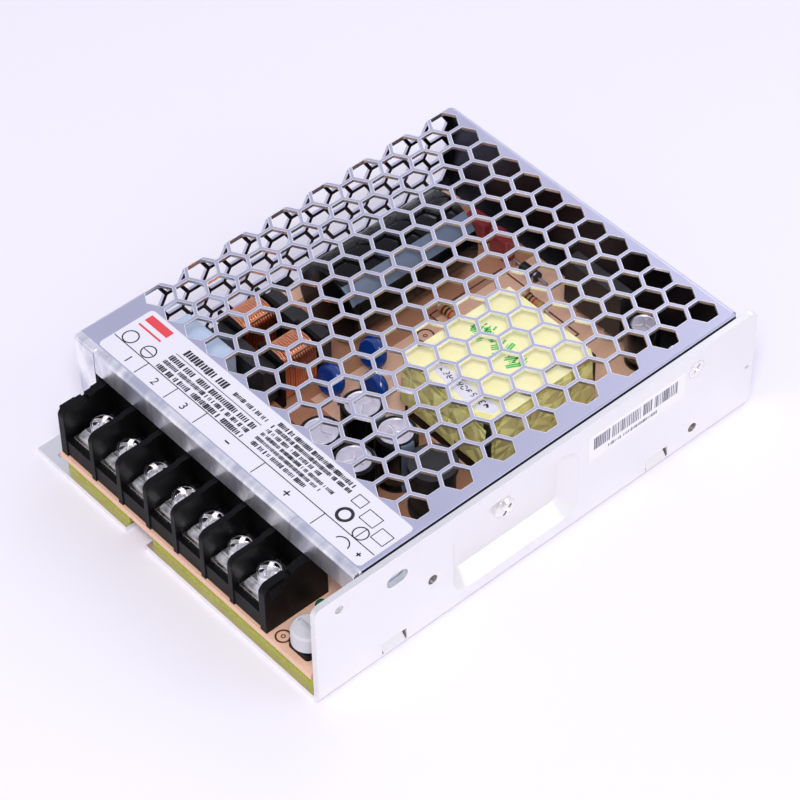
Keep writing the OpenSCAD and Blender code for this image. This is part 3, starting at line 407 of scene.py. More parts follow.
def rimHighlightMask(tree):
    # 1 on the rim that the punch leaves round each hole, painted white there as a highlight, 0 in
    # the middle of a web
    half = (holes["pitch"] / 2 * mm, holes["row"] * mm, 1.0)
    spot = addNode(tree, "ShaderNodeTexCoord").outputs["Object"]
    found = []
    for shift in (0, 1):
        start = (holes["centre"][0] * mm + shift * half[0],
                 holes["centre"][1] * mm + shift * half[1], 0)
        moved = addNode(tree, "ShaderNodeVectorMath", {0: spot, 1: start}, operation="SUBTRACT")
        wrapped = addNode(tree, "ShaderNodeVectorMath", {
            0: moved.outputs[0], 1: half, 2: tuple(-h for h in half)}, operation="WRAP")
        flat = addNode(tree, "ShaderNodeVectorMath", {0: wrapped.outputs[0], 1: (1, 1, 0)},
                       operation="MULTIPLY")
        reach = addNode(tree, "ShaderNodeVectorMath", {0: flat.outputs[0]}, operation="LENGTH")
        found.append((flat.outputs[0], reach.outputs["Value"]))
    nearer = addNode(tree, "ShaderNodeMath", {0: found[0][1], 1: found[1][1]},
                     operation="GREATER_THAN")
    fromCentre = addNode(tree, "ShaderNodeMix", {
        "Factor": nearer.outputs[0]}, data_type="VECTOR")
    tree.links.new(found[0][0], fromCentre.inputs[4])
    tree.links.new(found[1][0], fromCentre.inputs[5])
    offset = fromCentre.outputs[1]
    sides = addNode(tree, "ShaderNodeVectorMath", {0: offset}, operation="ABSOLUTE")
    slanted = addNode(tree, "ShaderNodeVectorMath", {
        0: sides.outputs[0], 1: (0.5, math.sqrt(0.75), 0)}, operation="DOT_PRODUCT")
    straight = addNode(tree, "ShaderNodeVectorMath", {0: sides.outputs[0], 1: (1, 0, 0)},
                       operation="DOT_PRODUCT")
    across = addNode(tree, "ShaderNodeMath", {
        0: slanted.outputs["Value"], 1: straight.outputs["Value"]}, operation="MAXIMUM")
    flatHalf = (holes["pitch"] - holes["web"]) / 2
    rim = addNode(tree, "ShaderNodeMapRange", {
        "Value": across.outputs[0], "From Min": (flatHalf + holes["rim"]) * mm,
        "From Max": (flatHalf + holes["rim"] * holes["rimInside"]) * mm})
    centre = addNode(tree, "ShaderNodeVectorMath", {0: spot, 1: offset}, operation="SUBTRACT")
    parts = addNode(tree, "ShaderNodeSeparateXYZ", {0: centre.outputs[0]}).outputs
    low = holes["centre"][1] - holes["margin"]
    high = holes["centre"][1] + holes["row"] * (holes["rows"] - 1) + holes["margin"]
    mask = rim.outputs[0]
    for value, limit, operation in ((parts[1], low, "GREATER_THAN"),
                                    (parts[1], high, "LESS_THAN"),
                                    (parts[0], holes["right"], "LESS_THAN"),
                                    (parts[2], coverHigh.z - holes["margin"], "GREATER_THAN")):
        test = addNode(tree, "ShaderNodeMath", {0: value, 1: limit * mm}, operation=operation)
        mask = addNode(tree, "ShaderNodeMath", {0: mask, 1: test.outputs[0]},
                       operation="MULTIPLY").outputs[0]
    return mask


coverPaintedLight = {   # painted shade and painted reflections on the bare sheet; zones in mm
    "seam": "#3E3E49", "seamWidth": 0.3, "inside": "#3C3C48", "insideDrop": 1.5,
    "insideFrom": 0.7, "insideTo": 1.4, "foldReflectionDark": "#CDCFDC", "foldReflectionBright": "#FFFFFF",
    "foldGap": 0.25, "streakSize": 7.5, "streakStretch": (1, 0.3, 0.3), "streakDetail": 5.0,
    "streakTwist": 1.6, "streakSpan": (0.36, 0.6),
}


def punchedCover():
    # Bare aluminium, darker and bluer than the case's: a painted reflection of the bluish sky.
    # The rim rolled over by the punch round each hole is painted white as a highlight. Painted
    # shade makes a dark line along the seam beside the solid wall and dark inner faces on the
    # perforated skirt and rear wall, and painted reflections make bright streaks on the front fold
    material = rolledAluminium("punchedAluminiumCover", holes["webReflectionTone"], shiny=0.32, dull=0.42)
    tree = material.node_tree
    shader = next(n for n in tree.nodes if n.type == "BSDF_PRINCIPLED")
    # painted highlight: the rims go white over the web's painted reflection tone
    tone = tinted(tree, shader, rimHighlightMask(tree), holes["webReflectionTone"], holes["rimHighlightColour"])
    near, far = coverPaintedLight["insideFrom"], coverPaintedLight["insideTo"]
    under = coverHigh.z - coverPaintedLight["insideDrop"]
    foldEnd = cornersOf("rating_label")[0].y - coverPaintedLight["foldGap"]
    # painted shade: a dark line in the gap beside the solid wall
    seam = boxMask(tree, [((coverHigh.x - coverPaintedLight["seamWidth"], None, None),
                           (None, None, None))])
    # painted shade: dark inner faces on the perforated skirt and the rear wall
    inside = boxMask(tree, [((coverLow.x + near, None, None), (coverLow.x + far, None, under)),
                            ((coverLow.x + far, coverHigh.y - far, None),
                             (coverHigh.x - far, coverHigh.y - near, under))])
    # painted reflections: light and dark streaks over the front fold
    front = boxMask(tree, [((None, None, None), (None, foldEnd, None))])
    noise = pattern(tree, coverPaintedLight["streakSize"], coverPaintedLight["streakStretch"],
                    coverPaintedLight["streakDetail"], coverPaintedLight["streakTwist"])
    streaks = addNode(tree, "ShaderNodeMapRange", {
        "Value": noise, "From Min": coverPaintedLight["streakSpan"][0],
        "From Max": coverPaintedLight["streakSpan"][1]})
    foldReflection = addNode(tree, "ShaderNodeMix", {
        "Factor": streaks.outputs[0], "A": toLinear(coverPaintedLight["foldReflectionDark"]),
        "B": toLinear(coverPaintedLight["foldReflectionBright"])}, data_type="RGBA").outputs["Result"]
    # the painted shade and painted reflections go over the sheet's tone
    for zone, other in ((seam, toLinear(coverPaintedLight["seam"])),
                        (inside, toLinear(coverPaintedLight["inside"])), (front, foldReflection)):
        tone = addNode(tree, "ShaderNodeMix", {"Factor": zone, "A": tone, "B": other},
                       data_type="RGBA").outputs["Result"]
    tree.links.new(tone, shader.inputs["Base Color"])
    return material


def mouldedPlastic(name, colour, lightColour, roughness=0.42, spark=0.5, depth=0.02, edge=0.15,
                   **more):
    # Thermoplastic from a spark-eroded mould: an even matt grain, with rounded corners
    material, tree, shader = startMaterial(name, colour, **more)
    flow = pattern(tree, size=9, detail=2.0)
    tinted(tree, shader, flow, colour, lightColour)
    vary(tree, shader, "Roughness", flow, roughness - 0.06, roughness + 0.06)
    relief(tree, shader, pattern(tree, spark), depth, edge)
    return material


def platedSteel(name, colour, shadeColour, roughness=0.2):
    # Bright plating over metal: sharp glints, faint stains from handling
    material, tree, shader = startMaterial(name, colour, Metallic=1.0)
    stain = pattern(tree, size=1.6, detail=4.0)
    tinted(tree, shader, stain, shadeColour, colour)
    vary(tree, shader, "Roughness", stain, roughness * 0.6, roughness * 1.5)
    relief(tree, shader, stain, depth=0.006, edge=0.18)
    return material


def dippedCoating(name, colour, lightColour, roughness=0.16):
    # Epoxy or lacquer dip: thick, glossy, with slow ripples where it ran and set
    material, tree, shader = startMaterial(name, colour, Roughness=roughness,
                                           Coat_Weight=0.5, Coat_Roughness=0.05)
    ripple = pattern(tree, size=2.4, detail=2.0)
    tinted(tree, shader, ripple, colour, lightColour)
    relief(tree, shader, ripple, depth=0.12, edge=0.2)
    return material


laminate = {   # the darker brown tone is painted shade for the zones, in mm, that lie deep between tall parts
    "dark": "#EDB89C", "light": "#FAD3BD", "shadeBrown": "#BC876C",
    "zones": [((-40, -36, None), (2.5, -13, None)), ((2.5, -36, None), (42, -1, None)),
              ((-40, -13, None), (-14, 60, None))],
}


def laminateBoard():
    # Paper laminate: tan, faintly fibrous, under a clear lacquer, with painted shade in the deep
    # zones
    material, tree, shader = startMaterial("phenolicPaperLaminate", laminate["light"],
                                           Roughness=0.38)
    fibre = pattern(tree, size=0.8, stretch=(1, 0.3, 1), detail=5.0)
    tan = tinted(tree, shader, fibre, laminate["dark"], laminate["light"])
    # painted shade: the zones take the darker brown
    tone = addNode(tree, "ShaderNodeMix", {
        "Factor": boxMask(tree, laminate["zones"]), "A": tan,
        "B": toLinear(laminate["shadeBrown"])}, data_type="RGBA")
    tree.links.new(tone.outputs["Result"], shader.inputs["Base Color"])
    relief(tree, shader, fibre, depth=0.015, edge=0.1)
    return material


def extrudedSheet():
    # Polypropylene sheet: satin yellow-green, light passes through its thin edge
    material, tree, shader = startMaterial("polypropyleneSheet", "#B9BB3E", Roughness=0.45,
                                           Subsurface_Weight=0.12, Subsurface_Scale=0.0015)
    haze = pattern(tree, size=2.5)
    tinted(tree, shader, haze, "#A9AC34", "#CBCB58")
    relief(tree, shader, haze, depth=0.02, edge=0.1)
    return material


def shrunkSleeve():
    # Shrunk PVC sleeve: near black and glossy, drawn tight over the can
    material, tree, shader = startMaterial("shrunkSleeve", "#060608", Roughness=0.18,
                                           Specular_IOR_Level=0.24)
    pull = pattern(tree, size=3, detail=2.0)
    tinted(tree, shader, pull, "#050507", "#0C0C10")
    relief(tree, shader, pull, depth=0.05, edge=0.15)
    return material


def enamelledCopper():
    # Enamelled wire: copper under a clear amber skin, each turn a little different
    material, tree, shader = startMaterial("enamelledCopper", "#E2895C", Metallic=1.0,
                                           Roughness=0.3, Coat_Weight=0.6, Coat_Roughness=0.12)
    turns = pattern(tree, size=0.9, stretch=(0.15, 1, 0.15), detail=2.0)
    tinted(tree, shader, turns, "#D87A4C", "#F4B48C")
    relief(tree, shader, turns, depth=0.02)
    return material


def polyesterTape(name, colour, deepColour, roughness, creaseSize, creaseDepth):
    # Polyester tape: glossy film, deeper in tone where layers lie over each other
    material, tree, shader = startMaterial(name, colour, Roughness=roughness,
                                           Coat_Weight=0.35, Coat_Roughness=0.08)
    layers = pattern(tree, size=5, stretch=(1, 1, 0.5), detail=3.0, distortion=0.6)
    tinted(tree, shader, layers, deepColour, colour)
    spot = addNode(tree, "ShaderNodeTexCoord")
    creases = addNode(tree, "ShaderNodeTexVoronoi", {
        "Vector": spot.outputs["Object"], "Scale": 1 / (creaseSize * mm)},
        feature="DISTANCE_TO_EDGE")
    relief(tree, shader, creases.outputs[0], creaseDepth, edge=0.1)
    return material


def sinteredFerrite():
    # Sintered ferrite: dark grey, dull, finely pitted
    material, tree, shader = startMaterial("sinteredFerrite", "#1C1C20", Roughness=0.5)
    pits = pattern(tree, size=0.4, detail=4.0)
    tinted(tree, shader, pits, "#17171A", "#28282D")
    relief(tree, shader, pits, depth=0.04, edge=0.2)
    return material


def twoFinishes(name, bodyColour, boxes, bodyRoughness=0.4, metalColour="#C9CAD2",
                metalRoughness=0.28):
    # A moulded or glass body, and bare tinned metal in the boxes: leads, tabs and end caps
    material, tree, shader = startMaterial(name, bodyColour)
    mask = boxMask(tree, boxes)
    tinted(tree, shader, mask, bodyColour, metalColour)
    tree.links.new(mask, shader.inputs["Metallic"])
    level = addNode(tree, "ShaderNodeMapRange", {
        "Value": mask, "To Min": bodyRoughness, "To Max": metalRoughness})
    tree.links.new(level.outputs[0], shader.inputs["Roughness"])
    relief(tree, shader, pattern(tree, size=0.5), depth=0.015, edge=0.12)
    return material


def printedFilm(name, colour, roughness):
    # Printed polyester label: satin white with a slight orange-peel
    material, tree, shader = startMaterial(name, colour)
    peel = pattern(tree, size=1.2, detail=2.0)
    vary(tree, shader, "Roughness", peel, roughness - 0.05, roughness + 0.08)
    relief(tree, shader, peel, depth=0.008)
    return material


def screenInk(name, colour):
    # Screen-printed ink: flat, nearly matt, a little uneven
    material, tree, shader = startMaterial(name, colour)
    vary(tree, shader, "Roughness", pattern(tree, size=0.25, detail=2.0), low=0.42, high=0.6)
    return material


wallMetal = rolledAluminium("rolledAluminiumCase", sheetMetal["caseColour"], shiny=0.34,
                            dull=0.46)
coverLow, coverHigh = cornersOf("cover")
coverMetal = punchedCover()
blackPbt = mouldedPlastic("blackPolyester", "#040405", "#08080A", roughness=0.5,
                          Specular_IOR_Level=0.16)
nickelSteel = platedSteel("nickelPlatedSteel", "#FBF9F8", "#E8E4E2", roughness=0.13)
chalkyZinc = platedSteel("passivatedZincPlate", "#FFFFFF", "#F1F1F4", roughness=0.42)
tinnedBrass = platedSteel("tinnedBrass", "#E6E3DC", "#C9C2B4", roughness=0.26)
springStrip = platedSteel("zincPlatedSpringSteel", "#B9BCC8", "#9EA1B0", roughness=0.32)
paleNylon = mouldedPlastic("naturalNylon", "#C9CAD2", "#DCDDE4", roughness=0.35,
                           Subsurface_Weight=0.2, Subsurface_Scale=0.002)
greenEpoxy = mouldedPlastic("tintedEpoxyLens", "#1E7A48", "#37A065", roughness=0.12,
                            Transmission_Weight=0.35, Coat_Weight=0.5)
ferrite = sinteredFerrite()
copperWire = enamelledCopper()
sleeveBlack = shrunkSleeve()
canTop = platedSteel("rolledCanTop", "#FBF8FD", "#DAD5E2", roughness=0.42)
tapeYellow = polyesterTape("yellowPolyesterTape", "#FFFAB4", "#F1E88A", roughness=0.25,
                           creaseSize=4.6, creaseDepth=1.3)
tapePale = polyesterTape("palePolyesterTape", "#FCF8CE", "#F5F0AC", roughness=0.4,
                         creaseSize=9, creaseDepth=0.15)
stripeInk = screenInk("greyStripeInk", "#5F6C84")
paleBox = mouldedPlastic("paleBluePolypropylene", "#BCD0EE", "#C9DAF2", roughness=0.3)
blueDisc = dippedCoating("blueEpoxyDip", "#0A3080", "#1549A6")
greenDisc = dippedCoating("greenEpoxyDip", "#2F3F2E", "#415540")
skyDisc = dippedCoating("lightBlueEpoxyDip", "#2A5CAB", "#3F74C4")
maroonDip = dippedCoating("maroonEpoxyDip", "#7E262E", "#9C3A40")
greyPad = mouldedPlastic("filledSilicone", "#C2C6CC", "#CDD1D6", roughness=0.6)
paleLabel = printedFilm("whitePolyesterLabel", "#E3E2F0", roughness=0.38)
wallLabelFilm = printedFilm("whiteVinylLabel", "#F3F1F8", roughness=0.4)
blackInk = screenInk("blackInk", "#17171C")
greyInk = screenInk("greyInk", "#6E6E78")
redInk = screenInk("redInk", "#E0444E")
greenInk = screenInk("greenStampInk", "#53C868")
boardInk = screenInk("brownBoardInk", "#5A3226")
paleSlotFilm = printedFilm("palePolyesterFilm", "#DCE6F4", roughness=0.35)
print("finishes")


# Finishes go onto the carried-over nodes

def finishNode(nodeName, material):
    piece = nodes[nodeName]
    if not piece.material_slots:
        piece.data.materials.append(material)
    for place in piece.material_slots:
        place.material = material


boardTop = cornersOf("circuit_board")[1].z
legs = {   # how far bare leads stand up from the board, in millimetres
    "bridge_rectifier": 3.0, "switching_transistor": 3.4, "output_rectifier": 3.4,
    "optocoupler": 0.6,
}


def legZone(nodeName):
    low = cornersOf(nodeName)[0]
    return (None, None, low.z - 1), (None, None, boardTop + legs[nodeName])


tabThick = 1.32


def tabZone(nodeName):   # the metal tab at the back of a power device
    low, high = cornersOf(nodeName)
    return (high.x - tabThick, None, low.z), (high.x + 1, None, high.z + 1)


fuseLow, fuseHigh = cornersOf("fuse")
fuseCap = 4.02
fuseEnds = [((None, None, None), (fuseLow.x + fuseCap, None, None)),
            ((fuseHigh.x - fuseCap, None, None), (None, None, None))]
diodeLow, diodeHigh = cornersOf("snubber_diode")
diodeLead, diodeRing = 3.1, (0.9, 0.4)
diodeBody = (diodeLow.x + diodeLead, diodeHigh.x - diodeLead)
diodeEnds = [((None, None, None), (diodeBody[0], None, None)),
             ((diodeBody[1] - diodeRing[0], None, None),
              (diodeBody[1] - diodeRing[1], None, None)),
             ((diodeBody[1], None, None), (None, None, None))]

resistor = {   # ring places are measured from the middle of each body, in millimetres
    "middles": [(-6.5, -28.5), (-6.5, -23.5), (-11.5, 27.5), (-1.5, 44.5)], "half": 3.02,
    "span": 4.9, "radius": 1.3, "ringWidth": 0.55, "body": "#B98A5E", "lead": "#D8D6D2",
    "rings": [(-2.3, "#5E2C18"), (-1.2, "#1B1B1B"), (-0.1, "#B5352A"), (1.7, "#C9A24A")],
}


def bandedResistor():
    # Lacquered carbon film: a glossy tan body, painted rings and bare tinned leads
    material, tree, shader = startMaterial("lacqueredResistor", resistor["body"], Roughness=0.25,
                                           Coat_Weight=0.4)
    layers = [(start, start + resistor["ringWidth"], colour)
              for start, colour in resistor["rings"]]
    layers += [(-resistor["span"], -resistor["half"], resistor["lead"]),
               (resistor["half"], resistor["span"], resistor["lead"])]
    tone = toLinear(resistor["body"])
    for start, end, colour in layers:
        zone = boxMask(tree, [((x + start, y - resistor["radius"], None),
                               (x + end, y + resistor["radius"], None))
                              for x, y in resistor["middles"]])
        tone = addNode(tree, "ShaderNodeMix", {
            "Factor": zone, "A": tone, "B": toLinear(colour)},
            data_type="RGBA").outputs["Result"]
    tree.links.new(tone, shader.inputs["Base Color"])
    relief(tree, shader, pattern(tree, size=0.8), depth=0.02, edge=0.1)
    return material


finishes = {
    "chassis": wallMetal,
    "cover": coverMetal,
    "insulating_film": extrudedSheet(),
    "circuit_board": laminateBoard(),
    "terminal_block": blackPbt,
    "terminal_contacts": tinnedBrass,
    "trimmer_body": blackPbt,
    "trimmer_knob": paleNylon,
    "indicator_lamp": greenEpoxy,
    "transformer_core": ferrite,
    "transformer_bobbin": blackPbt,
    "transformer_winding": copperWire,
    "filter_core": ferrite,
    "filter_bobbins": blackPbt,
    "interference_capacitor": paleBox,
    "disc_capacitors": blueDisc,
    "output_choke": ferrite,
    "fuse": twoFinishes("glassAndNickel", "#DFE3E0", fuseEnds, bodyRoughness=0.08),
    "thermistor": greenDisc,
    "varistor": skyDisc,
    "bridge_rectifier": twoFinishes("mouldedEpoxyBridge", "#1D1D21",
                                  [legZone("bridge_rectifier")]),
    "switching_transistor": twoFinishes("mouldedEpoxyTransistor", "#1F1F23", [
        legZone("switching_transistor"), tabZone("switching_transistor")]),
    "output_rectifier": twoFinishes("mouldedEpoxyRectifier", "#1F1F23", [
        legZone("output_rectifier"), tabZone("output_rectifier")]),
    "heat_pad": greyPad,
    "device_clamp": springStrip,
    "clamp_screw": nickelSteel,
    "cover_screws": nickelSteel,
    "board_screws": nickelSteel,
    "optocoupler": twoFinishes("mouldedEpoxyCoupler", "#DEDDD6", [legZone("optocoupler")]),
    "small_film_capacitors": maroonDip,
    "snubber_diode": twoFinishes("mouldedEpoxyDiode", "#212125", diodeEnds),
    "board_resistors": bandedResistor(),
    "wire_links": tinnedBrass,
    "rating_label": paleLabel,
    "barcode_label": wallLabelFilm,
}
for k in range(1, 8):
    finishes["clamp_washer_%d" % k] = nickelSteel
    finishes["terminal_screw_%d" % k] = nickelSteel
for nodeName, material in finishes.items():
    finishNode(nodeName, material)
print("carried-over parts finished:", len(finishes))


# Windings of the line filter: one tree lays round wire turn by turn over a rounded spool

windings = {
    "wire": 0.36, "pitch": 0.71, "turns": 13, "width": 7.2, "height": 12.7, "corner": 2.7,
    "unevenness": 0.012, "lean": 0.012, "spoolWidth": 7.9, "coreInset": 0.3,
    "core": [   # low and high corners across and up, round the middle of a spool
        ((-3.2, -6.0), (3.2, -3.6)), ((-3.2, 3.6), (3.2, 6.0)),
        ((-3.4, -3.7), (-3.36, 3.7)), ((3.36, -3.7), (3.4, 3.7))],
}


def windingTree(material):
    tree, sizes = startTree("wireTurns", {
        "Turns": 13, "Pitch": 0.7, "Wire Radius": 0.35, "Width": 7.0, "Height": 12.0,
        "Corner": 2.5, "Unevenness": 0.01, "Seed": 1})
    loop = addNode(tree, "GeometryNodeCurvePrimitiveQuadrilateral", {
        "Width": sizes["Width"], "Height": sizes["Height"]})
    rounded = addNode(tree, "GeometryNodeFilletCurve", {
        "Curve": loop.outputs[0], "Count": 5, "Radius": sizes["Corner"]}, mode="POLY")
    section = addNode(tree, "GeometryNodeCurvePrimitiveCircle", {
        "Resolution": 8, "Radius": sizes["Wire Radius"]})
    wire = addNode(tree, "GeometryNodeCurveToMesh", {
        "Curve": rounded.outputs[0], "Profile Curve": section.outputs[0]})
    upright = addNode(tree, "GeometryNodeTransform", {
        "Geometry": wire.outputs[0], "Rotation": (math.pi / 2, 0, 0)})
    step = addNode(tree, "ShaderNodeCombineXYZ", {"Y": sizes["Pitch"]})
    row = addNode(tree, "GeometryNodeMeshLine", {
        "Count": sizes["Turns"], "Offset": step.outputs[0]})
    lean = addNode(tree, "FunctionNodeRandomValue", {
        "Min": (0, 0, -windings["lean"]), "Max": (0, 0, windings["lean"]),
        "Seed": sizes["Seed"]}, data_type="FLOAT_VECTOR")
    smallest = addNode(tree, "ShaderNodeMath", {0: 1.0, 1: sizes["Unevenness"]},
                       operation="SUBTRACT")
    size = addNode(tree, "FunctionNodeRandomValue", {
        "Min": smallest.outputs[0], "Max": 1.0, "Seed": sizes["Seed"]}, data_type="FLOAT")
    turns = addNode(tree, "GeometryNodeInstanceOnPoints", {
        "Points": row.outputs[0], "Instance": upright.outputs[0], "Rotation": lean.outputs[0],
        "Scale": size.outputs[1]})
    endTree(tree, turns.outputs[0], material)
    return tree


wireTree = windingTree(copperWire)
low, high = cornersOf("filter_windings")
middle = (low + high) / 2
spoolOffset = (high.x - low.x - windings["spoolWidth"]) / 2
startY = middle.y - windings["pitch"] * (windings["turns"] - 1) / 2
grown = []
for k, side in enumerate((-1, 1)):
    grown.append(growMesh("turns%d" % k, wireTree, {
        "Turns": windings["turns"], "Pitch": windings["pitch"], "Wire Radius": windings["wire"],
        "Width": windings["width"], "Height": windings["height"], "Corner": windings["corner"],
        "Unevenness": windings["unevenness"], "Seed": 3 + k},
        Matrix.Translation((middle.x + side * spoolOffset, startY, middle.z))))
# a plain core under the turns closes the gaps between wires
shape = bmesh.new()
for side in (-1, 1):
    spoolX = middle.x + side * spoolOffset
    for start, end in windings["core"]:
        addBlock(shape, (spoolX + start[0], low.y + windings["coreInset"], middle.z + start[1]),
                 (spoolX + end[0], high.y - windings["coreInset"], middle.z + end[1]))
grown.append(closeMesh("windingCore", shape))
coils = keepJoined("filterCoils", grown, copperWire)
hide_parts("filter_windings")
print("windings")


# Cans: a shrunk sleeve rolled over a metal top, with scored vents

def addScoredTop(shape, place, radius, low, high, arms, gap, materialIndex):
    for k in range(arms):
        begin, stop = 2 * math.pi * k / arms, 2 * math.pi * (k + 1) / arms
        bisector = (begin + stop) / 2
        tip = gap / 2 / math.sin(math.pi / arms)
        outline = [(tip * math.cos(bisector), tip * math.sin(bisector))]
        inset = math.asin(gap / 2 / radius)
        steps = 16
        for i in range(steps + 1):
            a = begin + inset + (stop - begin - 2 * inset) * i / steps
            outline.append((radius * math.cos(a), radius * math.sin(a)))
        addPrism(shape, outline, low, high, materialIndex, place)


canShape = {
    "rim": 1.0, "sink": 0.35, "groove": 2.0, "ventShare": 0.66,
    "ventRim": 0.4, "score": 0.35, "scoreDepth": 0.16, "bite": 0.1, "overlap": 0.02,
    "steps": 72, "stripeFrom": 0.3, "stripeTo": 0.2, "stripeDepth": 0.5,
    "profile": [   # inset from the side, level, rise from that level, material index
        (1.0, "foot", 0, 0), (0.25, "foot", 0.1, 0), (0, "foot", 0.4, 0),
        (0, "groove", -0.75, 0), (0.3, "groove", -0.35, 0), (0.4, "groove", 0, 0),
        (0.3, "groove", 0.35, 0), (0, "groove", 0.75, 0), (0, "top", -0.75, 0),
        (0.1, "top", -0.4, 0), (0.35, "top", -0.1, 0), (0.6, "top", 0, 0),
        (1.0, "top", -0.02, 0), (1.05, "top", -0.12, 1), (1.25, "floor", -0.02, 1),
        (1.6, "scored", 0, 1)],
}


def addCan(shape, place, diameter, length, arms, stripe):
    r, rim = diameter / 2, canShape["rim"]
    floorHeight = length - canShape["sink"]
    scored = floorHeight - canShape["scoreDepth"]
    levels = {"foot": 0, "groove": canShape["groove"], "top": length, "floor": floorHeight,
              "scored": scored}
    profile = [(0, 0, 0)] + [(r - inset, levels[level] + rise, index)
                             for inset, level, rise, index in canShape["profile"]]
    profile.append((0, scored, 1))
    before = set(shape.faces)
    spinProfile(shape, profile, place, canShape["steps"])
    vent = (r - rim) * canShape["ventShare"]
    addScoredTop(shape, place, vent + canShape["overlap"], scored - canShape["bite"],
                 floorHeight, arms, canShape["score"], 1)
    ring = bmesh.new()
    addRing(ring, (0, 0), r - rim - canShape["ventRim"], vent, scored - canShape["bite"],
            floorHeight, canShape["steps"])
    for face in ring.faces:
        face.material_index = 1
    bmesh.ops.transform(ring, matrix=place, verts=ring.verts)
    holder = bpy.data.meshes.new("ring")
    ring.to_mesh(holder)
    ring.free()
    shape.from_mesh(holder)
    bpy.data.meshes.remove(holder)
    unturned = place.inverted()
    inmost = r - canShape["stripeDepth"]
    for face in set(shape.faces) - before:
        at = unturned @ face.calc_center_median()
        angle = math.degrees(math.atan2(at.y, at.x))
        off = (angle - stripe["middle"] + 180) % 360 - 180
        onSide = canShape["stripeFrom"] < at.z < length - canShape["stripeTo"] \
            and math.hypot(at.x, at.y) > inmost
        if face.material_index == 0 and onSide and abs(off) < stripe["width"] / 2:
            face.material_index = 2


outputCans = {"diameter": 10.0, "arms": 3, "turns": (0.4, 1.3, 2.2, 0.9),
              "stripe": {"middle": -60, "width": 40}}
low, high = cornersOf("output_capacitors")
inset = outputCans["diameter"] / 2
shape = bmesh.new()
canPlaces = [(x, y) for x in (low.x + inset, high.x - inset)
             for y in (low.y + inset, high.y - inset)]
for (x, y), turnBy in zip(canPlaces, outputCans["turns"]):
    addCan(shape, Matrix.Translation((x, y, boardTop)) @ Matrix.Rotation(turnBy, 4, "Z"),
           outputCans["diameter"], high.z - boardTop, outputCans["arms"], outputCans["stripe"])
outputCanPiece = keepPiece("outputCans", closeMesh("outputCans", shape),
                           [sleeveBlack, canTop, stripeInk])
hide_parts("output_capacitors")

low, high = cornersOf("auxiliary_capacitor")
shape = bmesh.new()
addCan(shape, Matrix.Translation(((low.x + high.x) / 2, (low.y + high.y) / 2, low.z)),
       high.x - low.x, high.z - low.z, 3, {"middle": 200, "width": 45})
auxiliaryPiece = keepPiece("auxiliaryCan", closeMesh("auxiliaryCan", shape),
                           [sleeveBlack, canTop, stripeInk])
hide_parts("auxiliary_capacitor")

low, high = cornersOf("reservoir_capacitor")
shape = bmesh.new()
# lying on its side, its top towards the rear; the stripe shows up and to the right
lying = Matrix.Translation(((low.x + high.x) / 2, low.y, (low.z + high.z) / 2)) \
    @ Matrix.Rotation(-math.pi / 2, 4, "X")
addCan(shape, lying, high.x - low.x, high.y - low.y, 4, {"middle": -45, "width": 30})
reservoirPiece = keepPiece("reservoirCan", closeMesh("reservoirCan", shape),
                           [sleeveBlack, canTop, stripeInk])
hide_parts("reservoir_capacitor")
print("cans")


# Tape round the transformer: crumpled facets at the sides, a smooth pale top, flaps in front

tapeWrap = {
    "facet": 3.4, "crumple": 0.26, "drift": 0.3, "slip": 0.6, "cornerRadius": 1.6, "rows": 5,
    "shell": 0.35, "topInset": 0.3, "underTop": 0.12, "seed": 11,
}


def roundedOutline(low, high, radius, steps=5):
    outline = []
    for cx, cy, start in ((high.x - radius, high.y - radius, 0),
                          (low.x + radius, high.y - radius, 90),
                          (low.x + radius, low.y + radius, 180),
                          (high.x - radius, low.y + radius, 270)):
        for k in range(steps + 1):
            a = math.radians(start + 90 * k / steps)
            outline.append((cx + radius * math.cos(a), cy + radius * math.sin(a)))
    return outline


def walkOutline(outline, spacing):   # evenly spaced points and their outward normals
    points = []
    closed = outline + outline[:1]
    lengths = [math.dist(a, b) for a, b in zip(closed, closed[1:])]
    count = max(8, round(sum(lengths) / spacing))
    stepLength = sum(lengths) / count
    k, used = 0, 0.0
    for i in range(count):
        target = i * stepLength
        while used + lengths[k] < target:
            used += lengths[k]
            k += 1
        t = (target - used) / lengths[k]
        a, b = Vector(closed[k]), Vector(closed[k + 1])
        along = (b - a).normalized()
        points.append((a.lerp(b, t), Vector((along.y, -along.x))))
    return points


